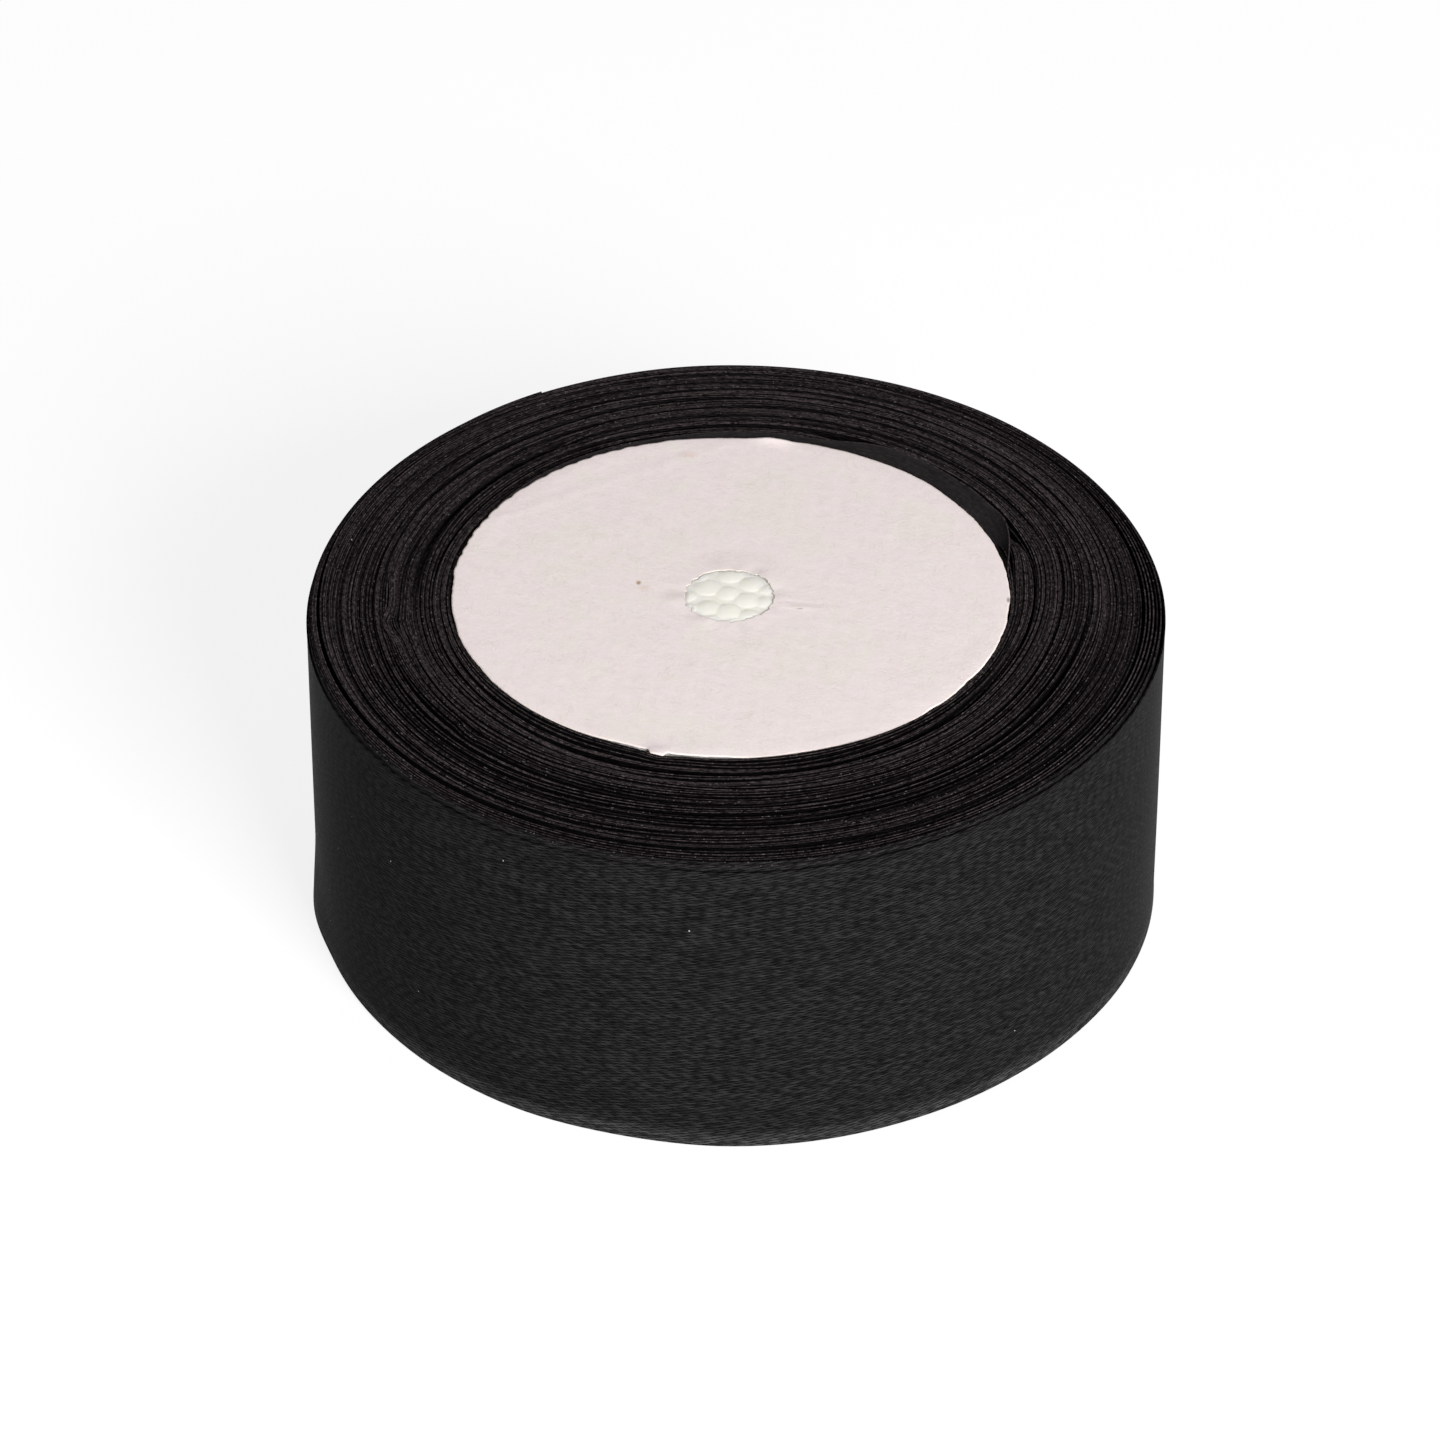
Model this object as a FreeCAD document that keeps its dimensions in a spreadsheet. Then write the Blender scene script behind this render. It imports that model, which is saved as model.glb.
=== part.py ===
import FreeCAD, Part
import math
import os

import Sketcher

# A roll of satin ribbon wound on an expanded-polystyrene core.
#
# Frame: millimetres, +Z up along the axis of the roll. The origin is the centre of the circle on
# which the roll stands, level with the lowest edge of the ribbon. -Y is the front of the roll and
# the free end of the ribbon lies at the back left.
#
# The strip is as wide everywhere as the sheet says. The core and the inner turns have slipped
# upwards in the outermost turns, so the roll stands on those turns only and its lower card is
# recessed.

doc = FreeCAD.newDocument("RibbonRoll")

# ---------------------------------------------------------------- sizes
SIZES = [
    # core of expanded polystyrene and its two glued paper cards
    ("core_radius", 31.4),
    ("core_height", 37.3),
    ("core_shift_x", -0.7),  # the core sits a little to the left of the outer circle
    ("core_edge_break", 0.5),
    ("mark_radius", 5.1),  # raised mark of swollen beads in the middle of each face
    ("mark_crown_radius", 3.2),
    ("mark_shoulder", 0.36),
    ("mark_rise", 0.62),
    ("mark_back", -0.7),  # the mark lies a little in front of the core's middle
    ("card_radius", 31.3),
    ("card_thickness", 0.4),
    ("card_hole_radius", 5.3),
    ("card_top", 40.9),
    # double-sided tape that holds the inner end of the ribbon
    ("start_tape_gap", 0.02),
    ("start_tape_thickness", 0.1),
    ("start_tape_height", 30.0),
    ("start_tape_angle", 36.0),
    ("start_tape_from", 200.0),
    # the ribbon
    ("ribbon_width", 38.1),
    ("ribbon_thickness", 0.19),
    ("bore_gap", 0.25),  # between the core and the first turn
    ("pack_radius", 47.25),
    ("pack_bottom", 2.4),
    ("pack_edge_drop", 0.45),  # the last turns of the pack lie a little lower
    ("pack_edge_width", 0.9),
    ("dip_depth", 0.8),  # shallow rings where a few turns lie lower
    ("dip_width", 0.35),
    ("inner_dip_radius", 34.0),
    ("middle_dip_radius", 38.6),
    ("outer_dip_radius", 42.6),
    ("slip_inner_radius", 47.3),
    ("slip_flat_radius", 47.9),
    ("slip_outer_radius", 48.28),
    ("slip_rise", 1.5),  # how far the first slipped turn still stands above the last
    ("wrap_inner_radius", 48.31),
    ("wrap_lift", 0.1),
    # free end of the ribbon
    ("tail_hinge_angle", 150.0),
    ("tail_angle", 32.0),
    ("tail_end_gap_angle", 1.0),
    ("tail_lift", 0.3),
    ("tail_clear_out", 0.12),  # the tail is not pressed onto the turn below it
    ("tail_clear_along", 0.468),
    # clear tape over the free end
    ("end_tape_gap", 0.01),
    ("end_tape_thickness", 0.06),
    ("end_tape_height", 18.0),
    ("end_tape_from", 106.0),
    ("end_tape_angle", 24.0),
]
sheet = doc.addObject("Spreadsheet::Sheet", "Sizes")
S = {}
for row, (alias, number) in enumerate(SIZES, start=1):
    sheet.set("A%d" % row, alias)
    sheet.set("B%d" % row, "%g" % number)
    sheet.setAlias("B%d" % row, alias)
    S[alias] = number
doc.recompute()


def size(*terms):
    """A sum of cells and numbers as (its value, its expression). A name with a minus is taken away."""
    value, words = 0.0, []
    for term in terms:
        if isinstance(term, str):
            minus = term.startswith("-")
            name = term.lstrip("-")
            value += -S[name] if minus else S[name]
            words.append(("- " if minus else "+ ") + "Sizes." + name)
        else:
            value += term
            words.append(("- " if term < 0 else "+ ") + "%g" % abs(term))
    text = " ".join(words)
    return value, text[2:] if text.startswith("+ ") else "0 " + text


def new_body(label):
    made = doc.addObject("PartDesign::Body", label)
    made.Label = label
    return made


def origin_plane(body, role):
    for feature in body.Origin.OriginFeatures:
        if feature.Role == role:
            return feature
    raise ValueError("no plane " + role)


def new_sketch(body, name, role, level=None):
    made = body.newObject("Sketcher::SketchObject", name)
    made.AttachmentSupport = [(origin_plane(body, role), "")]
    made.MapMode = "FlatFace"
    if level is not None:
        value, text = level
        made.AttachmentOffset = FreeCAD.Placement(FreeCAD.Vector(0, 0, value), FreeCAD.Rotation())
        made.setExpression("AttachmentOffset.Base.z", text)
    return made


def bind(sketch, constraint, text):
    number = sketch.addConstraint(constraint)
    sketch.setExpression("Constraints[%d]" % number, text)


def place_point(sketch, geometry, point, x, y):
    """Holds a point of the sketch at (x, y), each a (value, expression); a value of 0 puts it on the axis."""
    if abs(x[0]) < 1e-9:
        sketch.addConstraint(Sketcher.Constraint("PointOnObject", geometry, point, -2))
    else:
        bind(sketch, Sketcher.Constraint("DistanceX", -1, 1, geometry, point, x[0]), x[1])
    if abs(y[0]) < 1e-9:
        sketch.addConstraint(Sketcher.Constraint("PointOnObject", geometry, point, -1))
    else:
        bind(sketch, Sketcher.Constraint("DistanceY", -1, 1, geometry, point, y[0]), y[1])


def circle(sketch, radius, x=(0.0, "0"), y=(0.0, "0")):
    index = sketch.addGeometry(
        Part.Circle(FreeCAD.Vector(x[0], y[0], 0), FreeCAD.Vector(0, 0, 1), radius[0]), False
    )
    place_point(sketch, index, 3, x, y)
    bind(sketch, Sketcher.Constraint("Radius", index, radius[0]), radius[1])


def profile(sketch, corners):
    """A closed outline of straight edges through corners, each a pair of (value, expression)."""
    points = [FreeCAD.Vector(x[0], y[0], 0) for x, y in corners]
    count = len(points)
    first = None
    for i in range(count):
        index = sketch.addGeometry(Part.LineSegment(points[i], points[(i + 1) % count]), False)
        first = index if first is None else first
    for i in range(count):
        sketch.addConstraint(
            Sketcher.Constraint("Coincident", first + i, 2, first + (i + 1) % count, 1)
        )
    for i, (x, y) in enumerate(corners):
        place_point(sketch, first + i, 1, x, y)


def pad(body, sketch, name, height):
    made = body.newObject("PartDesign::Pad", name)
    made.Profile = sketch
    made.Length = height[0]
    made.setExpression("Length", height[1])
    return made


def turn(body, sketch, name, angle=None, kind="PartDesign::Revolution"):
    made = body.newObject(kind, name)
    made.Profile = sketch
    made.ReferenceAxis = (sketch, ["V_Axis"])
    if angle is None:
        made.Angle = 360.0
    else:
        made.Angle = angle[0]
        made.setExpression("Angle", angle[1])
    return made


ZERO = (0.0, "0")

# ---------------------------------------------------------------- foam core
core_bottom = size("card_top", "-card_thickness", "-core_height")
core_top = size("card_top", "-card_thickness")


def add_mark(body, name, level, up):
    """A low crown of beads on an end face of the core; up is 1 on the upper face and -1 on the lower one."""
    mark = new_sketch(body, name + "_profile", "XZ_Plane")
    mark.AttachmentOffset = FreeCAD.Placement(FreeCAD.Vector(0, 0, -S["mark_back"]), FreeCAD.Rotation())
    mark.setExpression("AttachmentOffset.Base.z", "-Sizes.mark_back")
    base = (level[0] - 0.3 * up, level[1] + (" - 0.3" if up > 0 else " + 0.3"))
    sign = "+" if up > 0 else "-"
    foot = level
    shoulder = (level[0] + up * S["mark_shoulder"], level[1] + " %s Sizes.mark_shoulder" % sign)
    crown = (level[0] + up * S["mark_rise"], level[1] + " %s Sizes.mark_rise" % sign)
    corners = [
        (ZERO, base),
        (size("mark_radius"), base),
        (size("mark_radius"), foot),
        (size("mark_radius", -0.55), shoulder),
        (size("mark_crown_radius"), crown),
        (ZERO, crown),
    ]
    if up < 0:
        corners.reverse()
    profile(mark, corners)
    return turn(body, mark, name)


core = new_body("foam_core")
core_outline = new_sketch(core, "core_outline", "XY_Plane", core_bottom)
circle(core_outline, size("core_radius"))
core_pad = pad(core, core_outline, "core_cylinder", size("core_height"))
doc.recompute()
rims = [
    "Edge%d" % (i + 1)
    for i, edge in enumerate(core_pad.Shape.Edges)
    if isinstance(edge.Curve, Part.Circle) and edge.Closed
]
breaks = core.newObject("PartDesign::Chamfer", "core_edge_breaks")
breaks.Base = (core_pad, rims)
breaks.Size = S["core_edge_break"]
breaks.setExpression("Size", "Sizes.core_edge_break")
core_pad.Visibility = False
doc.recompute()
plain_volume = breaks.Shape.Volume
add_mark(core, "upper_bead_mark", core_top, 1)
add_mark(core, "lower_bead_mark", core_bottom, -1)
core.Placement = FreeCAD.Placement(FreeCAD.Vector(S["core_shift_x"], 0, 0), FreeCAD.Rotation())
core.setExpression("Placement.Base.x", "Sizes.core_shift_x")
doc.recompute()
mark_volume = core.Shape.Volume - plain_volume
if not 30.0 < mark_volume < 130.0:
    raise ValueError("the two bead marks add %.1f cubic mm" % mark_volume)


# ---------------------------------------------------------------- paper cards
def make_card(label, level):
    body = new_body(label)
    outline = new_sketch(body, label + "_outline", "XY_Plane", level)
    circle(outline, size("card_radius"))
    circle(outline, size("card_hole_radius"), ZERO, size("mark_back"))
    pad(body, outline, label + "_sheet", size("card_thickness"))
    body.Placement = FreeCAD.Placement(FreeCAD.Vector(S["core_shift_x"], 0, 0), FreeCAD.Rotation())
    body.setExpression("Placement.Base.x", "Sizes.core_shift_x")
    return body


upper_card = make_card("upper_face_card", core_top)
lower_card = make_card(
    "lower_face_card", size("card_top", "-card_thickness", "-core_height", "-card_thickness")
)

# ---------------------------------------------------------------- tape that starts the winding
start_tape = new_body("core_start_tape")
tape_section = new_sketch(start_tape, "start_tape_section", "XZ_Plane")
tape_middle = S["card_top"] - S["card_thickness"] - S["core_height"] / 2
tape_low = (
    tape_middle - S["start_tape_height"] / 2,
    "Sizes.card_top - Sizes.card_thickness - Sizes.core_height / 2 - Sizes.start_tape_height / 2",
)
tape_high = (
    tape_middle + S["start_tape_height"] / 2,
    "Sizes.card_top - Sizes.card_thickness - Sizes.core_height / 2 + Sizes.start_tape_height / 2",
)
tape_in = size("core_radius", "start_tape_gap")
tape_out = size("core_radius", "start_tape_gap", "start_tape_thickness")
profile(
    tape_section,
    [(tape_in, tape_low), (tape_out, tape_low), (tape_out, tape_high), (tape_in, tape_high)],
)
turn(start_tape, tape_section, "start_tape_band", size("start_tape_angle"))
start_tape.Placement = FreeCAD.Placement(
    FreeCAD.Vector(S["core_shift_x"], 0, 0),
    FreeCAD.Rotation(FreeCAD.Vector(0, 0, 1), S["start_tape_from"]),
)
start_tape.setExpression("Placement.Base.x", "Sizes.core_shift_x")
start_tape.setExpression("Placement.Rotation.Angle", "Sizes.start_tape_from")

# ---------------------------------------------------------------- wound turns
# The tight turns, as one pack. Its bore follows the core, which is off the centre of the roll.
pack = new_body("wound_turns")
pack_section = new_sketch(pack, "pack_section", "XZ_Plane")
pack_top = size("pack_bottom", "ribbon_width")
pack_edge = size("pack_radius", "-pack_edge_width")
profile(
    pack_section,
    [
        (ZERO, size("pack_bottom")),
        (pack_edge, size("pack_bottom")),
        (size("pack_radius"), size("pack_bottom", "-pack_edge_drop")),
        (size("pack_radius"), size("pack_bottom", "ribbon_width", "-pack_edge_drop")),
        (pack_edge, pack_top),
        (ZERO, pack_top),
    ],
)
pack_solid = turn(pack, pack_section, "pack_solid")
doc.recompute()
before = pack.Shape.Volume
for dip in ("inner_dip_radius", "middle_dip_radius", "outer_dip_radius"):
    cut = new_sketch(pack, dip.replace("radius", "section"), "XZ_Plane")
    low = size("pack_bottom", "ribbon_width", "-dip_depth")
    high = size("pack_bottom", "ribbon_width", 0.5)
    near, far = size(dip), size(dip, "dip_width")
    profile(cut, [(near, low), (far, low), (far, high), (near, high)])
    turn(pack, cut, dip.replace("radius", "ring"), None, "PartDesign::Groove")
doc.recompute()
if not 50.0 < before - pack.Shape.Volume < 400.0:
    raise ValueError("the dips cut %.1f cubic mm" % (before - pack.Shape.Volume))
before = pack.Shape.Volume
bore = new_sketch(pack, "bore_outline", "XY_Plane")
circle(bore, size("core_radius", "bore_gap"), size("core_shift_x"))
hole = pack.newObject("PartDesign::Pocket", "bore")
hole.Profile = bore
hole.Type = "ThroughAll"
hole.Midplane = True
doc.recompute()
expected = math.pi * (S["core_radius"] + S["bore_gap"]) ** 2 * S["ribbon_width"]
if abs(before - pack.Shape.Volume - expected) > 0.01 * expected:
    raise ValueError("the bore cuts %.0f, not %.0f" % (before - pack.Shape.Volume, expected))

# The few outermost turns, which have slipped down and carry the roll.
slipped = new_body("slipped_outer_turns")
slipped_section = new_sketch(slipped, "slipped_section", "XZ_Plane")
profile(
    slipped_section,
    [
        (size("slip_inner_radius"), size("slip_rise")),
        (size("slip_flat_radius"), ZERO),
        (size("slip_outer_radius"), ZERO),
        (size("slip_outer_radius"), size("ribbon_width")),
        (size("slip_flat_radius"), size("ribbon_width")),
        (size("slip_inner_radius"), size("ribbon_width", "slip_rise")),
    ],
)
turn(slipped, slipped_section, "slipped_ring")

# The last whole turn, from the line where the free end starts, round the front, to the free end.
wrap = new_body("outer_wrap")
wrap_section = new_sketch(wrap, "wrap_section", "XZ_Plane")
wrap_in = size("wrap_inner_radius")
wrap_out = size("wrap_inner_radius", "ribbon_thickness")
profile(
    wrap_section,
    [
        (wrap_in, size("wrap_lift")),
        (wrap_out, size("wrap_lift")),
        (wrap_out, size("wrap_lift", "ribbon_width")),
        (wrap_in, size("wrap_lift", "ribbon_width")),
    ],
)
wrap_turn = (
    360.0 - S["tail_angle"] - S["tail_end_gap_angle"],
    "360 - Sizes.tail_angle - Sizes.tail_end_gap_angle",
)
turn(wrap, wrap_section, "wrap_band", wrap_turn)
wrap.Placement = FreeCAD.Placement(
    FreeCAD.Vector(0, 0, 0), FreeCAD.Rotation(FreeCAD.Vector(0, 0, 1), S["tail_hinge_angle"])
)
wrap.setExpression("Placement.Rotation.Angle", "Sizes.tail_hinge_angle")

# The free end: the same strip, lifted off the turn below by moving its centre outwards.
hinge = math.radians(S["tail_hinge_angle"])
out = FreeCAD.Vector(math.cos(hinge), math.sin(hinge), 0)
along = FreeCAD.Vector(math.sin(hinge), -math.cos(hinge), 0)
lift = out * S["tail_clear_out"] + along * S["tail_clear_along"]
LIFT_X = (
    "Sizes.tail_clear_out * cos(Sizes.tail_hinge_angle * 1 deg)"
    " + Sizes.tail_clear_along * sin(Sizes.tail_hinge_angle * 1 deg)"
)
LIFT_Y = (
    "Sizes.tail_clear_out * sin(Sizes.tail_hinge_angle * 1 deg)"
    " - Sizes.tail_clear_along * cos(Sizes.tail_hinge_angle * 1 deg)"
)


def lifted(body, start, start_text):
    body.Placement = FreeCAD.Placement(lift, FreeCAD.Rotation(FreeCAD.Vector(0, 0, 1), start))
    body.setExpression("Placement.Base.x", LIFT_X)
    body.setExpression("Placement.Base.y", LIFT_Y)
    body.setExpression("Placement.Rotation.Angle", start_text)


tail = new_body("ribbon_tail")
tail_section = new_sketch(tail, "tail_section", "XZ_Plane")
profile(
    tail_section,
    [
        (wrap_in, size("tail_lift")),
        (wrap_out, size("tail_lift")),
        (wrap_out, size("tail_lift", "ribbon_width")),
        (wrap_in, size("tail_lift", "ribbon_width")),
    ],
)
turn(tail, tail_section, "tail_band", size("tail_angle"))
lifted(
    tail,
    S["tail_hinge_angle"] - S["tail_angle"],
    "Sizes.tail_hinge_angle - Sizes.tail_angle",
)

# Clear tape, half on the free end and half past it.
end_tape = new_body("end_tape")
end_section = new_sketch(end_tape, "end_tape_section", "XZ_Plane")
end_in = size("wrap_inner_radius", "ribbon_thickness", "end_tape_gap")
end_out = size("wrap_inner_radius", "ribbon_thickness", "end_tape_gap", "end_tape_thickness")
end_low = (
    S["tail_lift"] + S["ribbon_width"] / 2 - S["end_tape_height"] / 2,
    "Sizes.tail_lift + Sizes.ribbon_width / 2 - Sizes.end_tape_height / 2",
)
end_high = (
    S["tail_lift"] + S["ribbon_width"] / 2 + S["end_tape_height"] / 2,
    "Sizes.tail_lift + Sizes.ribbon_width / 2 + Sizes.end_tape_height / 2",
)
profile(
    end_section,
    [(end_in, end_low), (end_out, end_low), (end_out, end_high), (end_in, end_high)],
)
turn(end_tape, end_section, "end_tape_band", size("end_tape_angle"))
lifted(end_tape, S["end_tape_from"], "Sizes.end_tape_from")

doc.recompute()

# ---------------------------------------------------------------- checks and files
for item in doc.Objects:
    if "Invalid" in item.State or "Error" in item.State:
        raise ValueError("%s is %s" % (item.Name, item.State))

NODES = [core, upper_card, lower_card, start_tape, pack, slipped, wrap, tail, end_tape]
for item in NODES:
    shape = item.Shape
    if shape.isNull() or not shape.isValid() or not shape.Solids:
        raise ValueError(item.Label + " has no valid solid")
    box = shape.BoundBox
    print(
        "%-20s solids %d  volume %9.2f  x %.2f..%.2f  y %.2f..%.2f  z %.2f..%.2f"
        % (
            item.Label,
            len(shape.Solids),
            shape.Volume,
            box.XMin,
            box.XMax,
            box.YMin,
            box.YMax,
            box.ZMin,
            box.ZMax,
        )
    )

os.makedirs("parts", exist_ok=True)
for item in NODES:
    item.Shape.exportStep("parts/%s.step" % item.Label)
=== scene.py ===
import math

import bpy
import numpy as np
from mathutils.kdtree import KDTree
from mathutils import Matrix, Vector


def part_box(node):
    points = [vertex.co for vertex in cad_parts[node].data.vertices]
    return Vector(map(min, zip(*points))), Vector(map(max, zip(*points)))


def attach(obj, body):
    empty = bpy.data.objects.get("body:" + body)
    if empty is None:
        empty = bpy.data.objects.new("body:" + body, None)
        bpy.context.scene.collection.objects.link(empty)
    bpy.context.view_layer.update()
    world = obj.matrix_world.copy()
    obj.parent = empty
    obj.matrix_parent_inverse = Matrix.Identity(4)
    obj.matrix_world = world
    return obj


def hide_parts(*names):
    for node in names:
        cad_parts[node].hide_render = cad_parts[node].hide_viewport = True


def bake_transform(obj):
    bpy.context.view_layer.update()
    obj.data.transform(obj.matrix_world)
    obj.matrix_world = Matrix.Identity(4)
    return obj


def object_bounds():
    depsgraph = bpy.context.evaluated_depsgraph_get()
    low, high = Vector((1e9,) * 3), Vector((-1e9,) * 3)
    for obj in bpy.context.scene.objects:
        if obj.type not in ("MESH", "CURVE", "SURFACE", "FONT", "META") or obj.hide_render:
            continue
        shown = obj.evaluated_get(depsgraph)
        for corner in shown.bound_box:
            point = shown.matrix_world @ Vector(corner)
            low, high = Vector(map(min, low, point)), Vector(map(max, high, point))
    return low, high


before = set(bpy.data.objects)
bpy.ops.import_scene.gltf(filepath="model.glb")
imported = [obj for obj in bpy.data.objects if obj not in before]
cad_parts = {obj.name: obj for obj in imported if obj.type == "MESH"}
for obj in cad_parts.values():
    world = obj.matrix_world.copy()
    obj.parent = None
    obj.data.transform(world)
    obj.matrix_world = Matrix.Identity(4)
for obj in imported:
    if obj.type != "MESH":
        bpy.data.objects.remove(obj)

CAD_LO, CAD_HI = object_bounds()

MM = 0.001
scene = bpy.context.scene

# ---------------------------------------------------------------------------------------------
# Sizes, in millimetres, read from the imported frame
# ---------------------------------------------------------------------------------------------


def node_box(name):
    lo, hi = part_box(name)
    return np.array(lo) / MM, np.array(hi) / MM


CARD_LO, CARD_HI = node_box("upper_face_card")
LOW_CARD_LO, LOW_CARD_HI = node_box("lower_face_card")
FOAM_LO, FOAM_HI = node_box("foam_core")
WOUND_LO, WOUND_HI = node_box("wound_turns")
WRAP_LO, WRAP_HI = node_box("outer_wrap")
TAPE_LO, TAPE_HI = node_box("end_tape")
CORE_X = float(CARD_LO[0] + CARD_HI[0]) / 2  # the core sits a little off the roll's centre
CARD_R = float(CARD_HI[0] - CARD_LO[0]) / 2
FOAM_R = float(FOAM_HI[0] - FOAM_LO[0]) / 2
ROLL_R = float(WRAP_HI[0])
PACK_TOP = float(WOUND_HI[2])
RIM_TOP = float(WRAP_HI[2])
CARD_TOP, CARD_BOTTOM = float(CARD_HI[2]), float(CARD_LO[2])
LOW_TOP, LOW_BOTTOM = float(LOW_CARD_HI[2]), float(LOW_CARD_LO[2])
MARK_X, MARK_Y, MARK_R = CORE_X - 0.2, -0.7, 5.3

WIDE = 38.0  # the ribbon, nominally 38 mm
THICK = 0.15
N_PACK, N_OUT = 84, 7
N_ALL = N_PACK + N_OUT
END_DEG = 118.0  # where the free end lies
HINGE_DEG = 150.0
RIM_LINE = ROLL_R - THICK / 2 - 0.03

rng = np.random.default_rng(20)


def smooth(x):
    x = np.clip(x, 0.0, 1.0)
    return x * x * (3 - 2 * x)


def bump(x, centre, half):
    """1 at the centre, 0 at half away and beyond."""
    d = np.abs(x - centre) / half
    return np.where(d < 1, 0.5 + 0.5 * np.cos(np.pi * np.clip(d, 0, 1)), 0.0)


def wrapdeg(a):
    return (a + 180.0) % 360.0 - 180.0


def window(deg, start, rise, stop, fall):
    """0 to 1 from start over rise degrees, and back to 0 over fall degrees after stop."""
    a = (deg - start + 60.0) % 360.0 - 60.0
    return smooth(a / rise) * (1 - smooth((a - (stop - start)) / fall))


def waves(a, count, low, high, seed):
    """A smooth closed wobble of angle a, of unit size."""
    r = np.random.default_rng(seed)
    out = np.zeros_like(a)
    for _ in range(count):
        m = int(r.integers(low, high + 1))
        out += np.cos(m * a + r.uniform(0, 2 * np.pi)) * r.uniform(0.5, 1.0)
    return out / math.sqrt(count)


# ---------------------------------------------------------------------------------------------
# The winding: where the strip runs, by turn count n and angle
# ---------------------------------------------------------------------------------------------


def ring(theta, cx, radius):
    c, s = np.cos(theta), np.sin(theta)
    return cx * c + np.sqrt(radius**2 - (cx * s) ** 2)


def chord(deg, a, b, radius):
    """How far the chord between the angles a and b lies inside the circle."""
    mid, half = (a + b) / 2, (b - a) / 2
    d = wrapdeg(deg - mid)
    inside = np.abs(d) < half
    dd = np.where(inside, d, 0)
    return np.where(
        inside,
        -radius * (1 - math.cos(math.radians(half)) / np.cos(np.radians(dd))),
        0.0,
    )


KINK_N = 41.0


def crease(deg, centre, half):
    """A sharp ridge, 1 at the centre and 0 at half away, with slightly hollow sides."""
    d = np.clip(1 - np.abs(wrapdeg(deg - centre)) / half, 0, 1)
    return d * (0.65 + 0.35 * d)


def plateau(deg, a, b, fade):
    """1 between the angles a and b, fading out over fade degrees beyond them."""
    d = np.abs(wrapdeg(deg - (a + b) / 2)) - (b - a) / 2
    return 1 - smooth(d / fade)


def kink(deg, n):
    """Turns that were folded once: creases that stand out, and flats that lie in between."""
    inside = smooth((n - 22) / 8.0) * (1 - smooth((n - KINK_N) / 1.6))
    deep = smooth((n - 31) / 7.0) * (1 - smooth((n - KINK_N) / 1.6))
    after = smooth((n - KINK_N) / 1.6) * (1 - smooth((n - KINK_N) / 14.0))
    out = inside * (0.42 * crease(deg, 188, 6.5) - 0.08 * plateau(deg, 178, 202, 10))
    out = out + deep * (0.50 * crease(deg, 188.5, 4.0) - 0.26 * plateau(deg, 194, 217, 6))
    out = out - deep * 0.30 * bump(wrapdeg(deg - 181.0), 0, 6.5)
    out = out + after * (-0.20 * plateau(deg, 193, 218, 7) + 0.12 * crease(deg, 189.5, 5))
    out = out + 0.46 * crease(deg, 222, 4.0) * smooth((n - 36) / 4) * (1 - smooth((n - 42) / 7))
    return out


def steps(n, values, at, width):
    """Piecewise constant values over n, with smooth changes centred at at."""
    out = np.full_like(n, values[0])
    for v0, v1, a, w in zip(values[:-1], values[1:], at, width):
        out += (v1 - v0) * smooth((n - a) / w + 0.5)
    return out


def pack_offsets():
    """Small differences in height from turn to turn."""
    r = np.random.default_rng(7)
    values, at, width = [], [], []
    level, next_low = 0.0, 2
    for k in range(N_PACK + 1):
        level = 0.75 * level + r.normal(0, 0.03)
        v = level + r.normal(0, 0.025)
        if k >= next_low:
            v -= r.uniform(0.14, 0.42)
            next_low = k + int(r.choice([2, 3, 3, 4]))
        values.append(v)
        if k:
            at.append(k + r.uniform(-0.30, 0.30))
            width.append(r.uniform(0.12, 0.30))
    return np.array(values), at, width


# Turns that lie lower than the others: the middle one, how many, and by how much
LOW_FRONT = [
    (7.3, 1.8, 0.5), (13.0, 3.0, 1.0), (21.1, 1.4, 0.22), (27.2, 1.6, 0.4), (32.1, 2.8, 0.85), (37.4, 2.4, 0.7),
    (46.0, 3.0, 1.0), (51.2, 3.0, 1.0), (56.1, 2.0, 0.6), (62.3, 2.6, 0.7), (68.0, 2.0, 0.5), (75.6, 2.2, 0.45), (81.0, 1.6, 0.18),
]
LOW_BACK = [
    (12.2, 3.2, 0.8), (22.7, 3.4, 0.50), (35.2, 3.0, 0.32), (46.6, 4.0, 0.60), (58.5, 4.0, 0.30), (69.0, 3.4, 0.24), (79.8, 3.6, 0.26),
]


def low_turns(deg, n):
    # the low band near the core is shallow at the left, where a wider one lies further out
    shallow = 1 - 0.75 * plateau(deg, 178, 226, 16) - 0.45 * plateau(deg, 126, 160, 14)

    def total(rows):
        z = np.zeros_like(n)
        for at, many, depth in rows:
            here = -depth * (1 - smooth((np.abs(n - at) - many / 2) / 0.45 + 0.5))
            z = z + here * (shallow if 11 < at < 14 else 1.0)
        return z

    back = plateau(deg, 28, 152, 26)
    side = 0.30 + 0.70 * smooth(np.abs(np.sin(np.radians(deg))) / 0.55)
    wide = total([(23.2, 4.6, 0.9)]) * plateau(deg, 132, 170, 14)
    return side * (total(LOW_FRONT) * (1 - back) + total(LOW_BACK) * back) + wide


PACK_V, PACK_AT, PACK_W = pack_offsets()
# How far up from the rim to the pack's edge each turn of the outer group stands, from the inside out
OUT_SHARE = [0.80, 0.76, 0.68, 0.61, 0.52, 0.38, 0.0]
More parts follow.
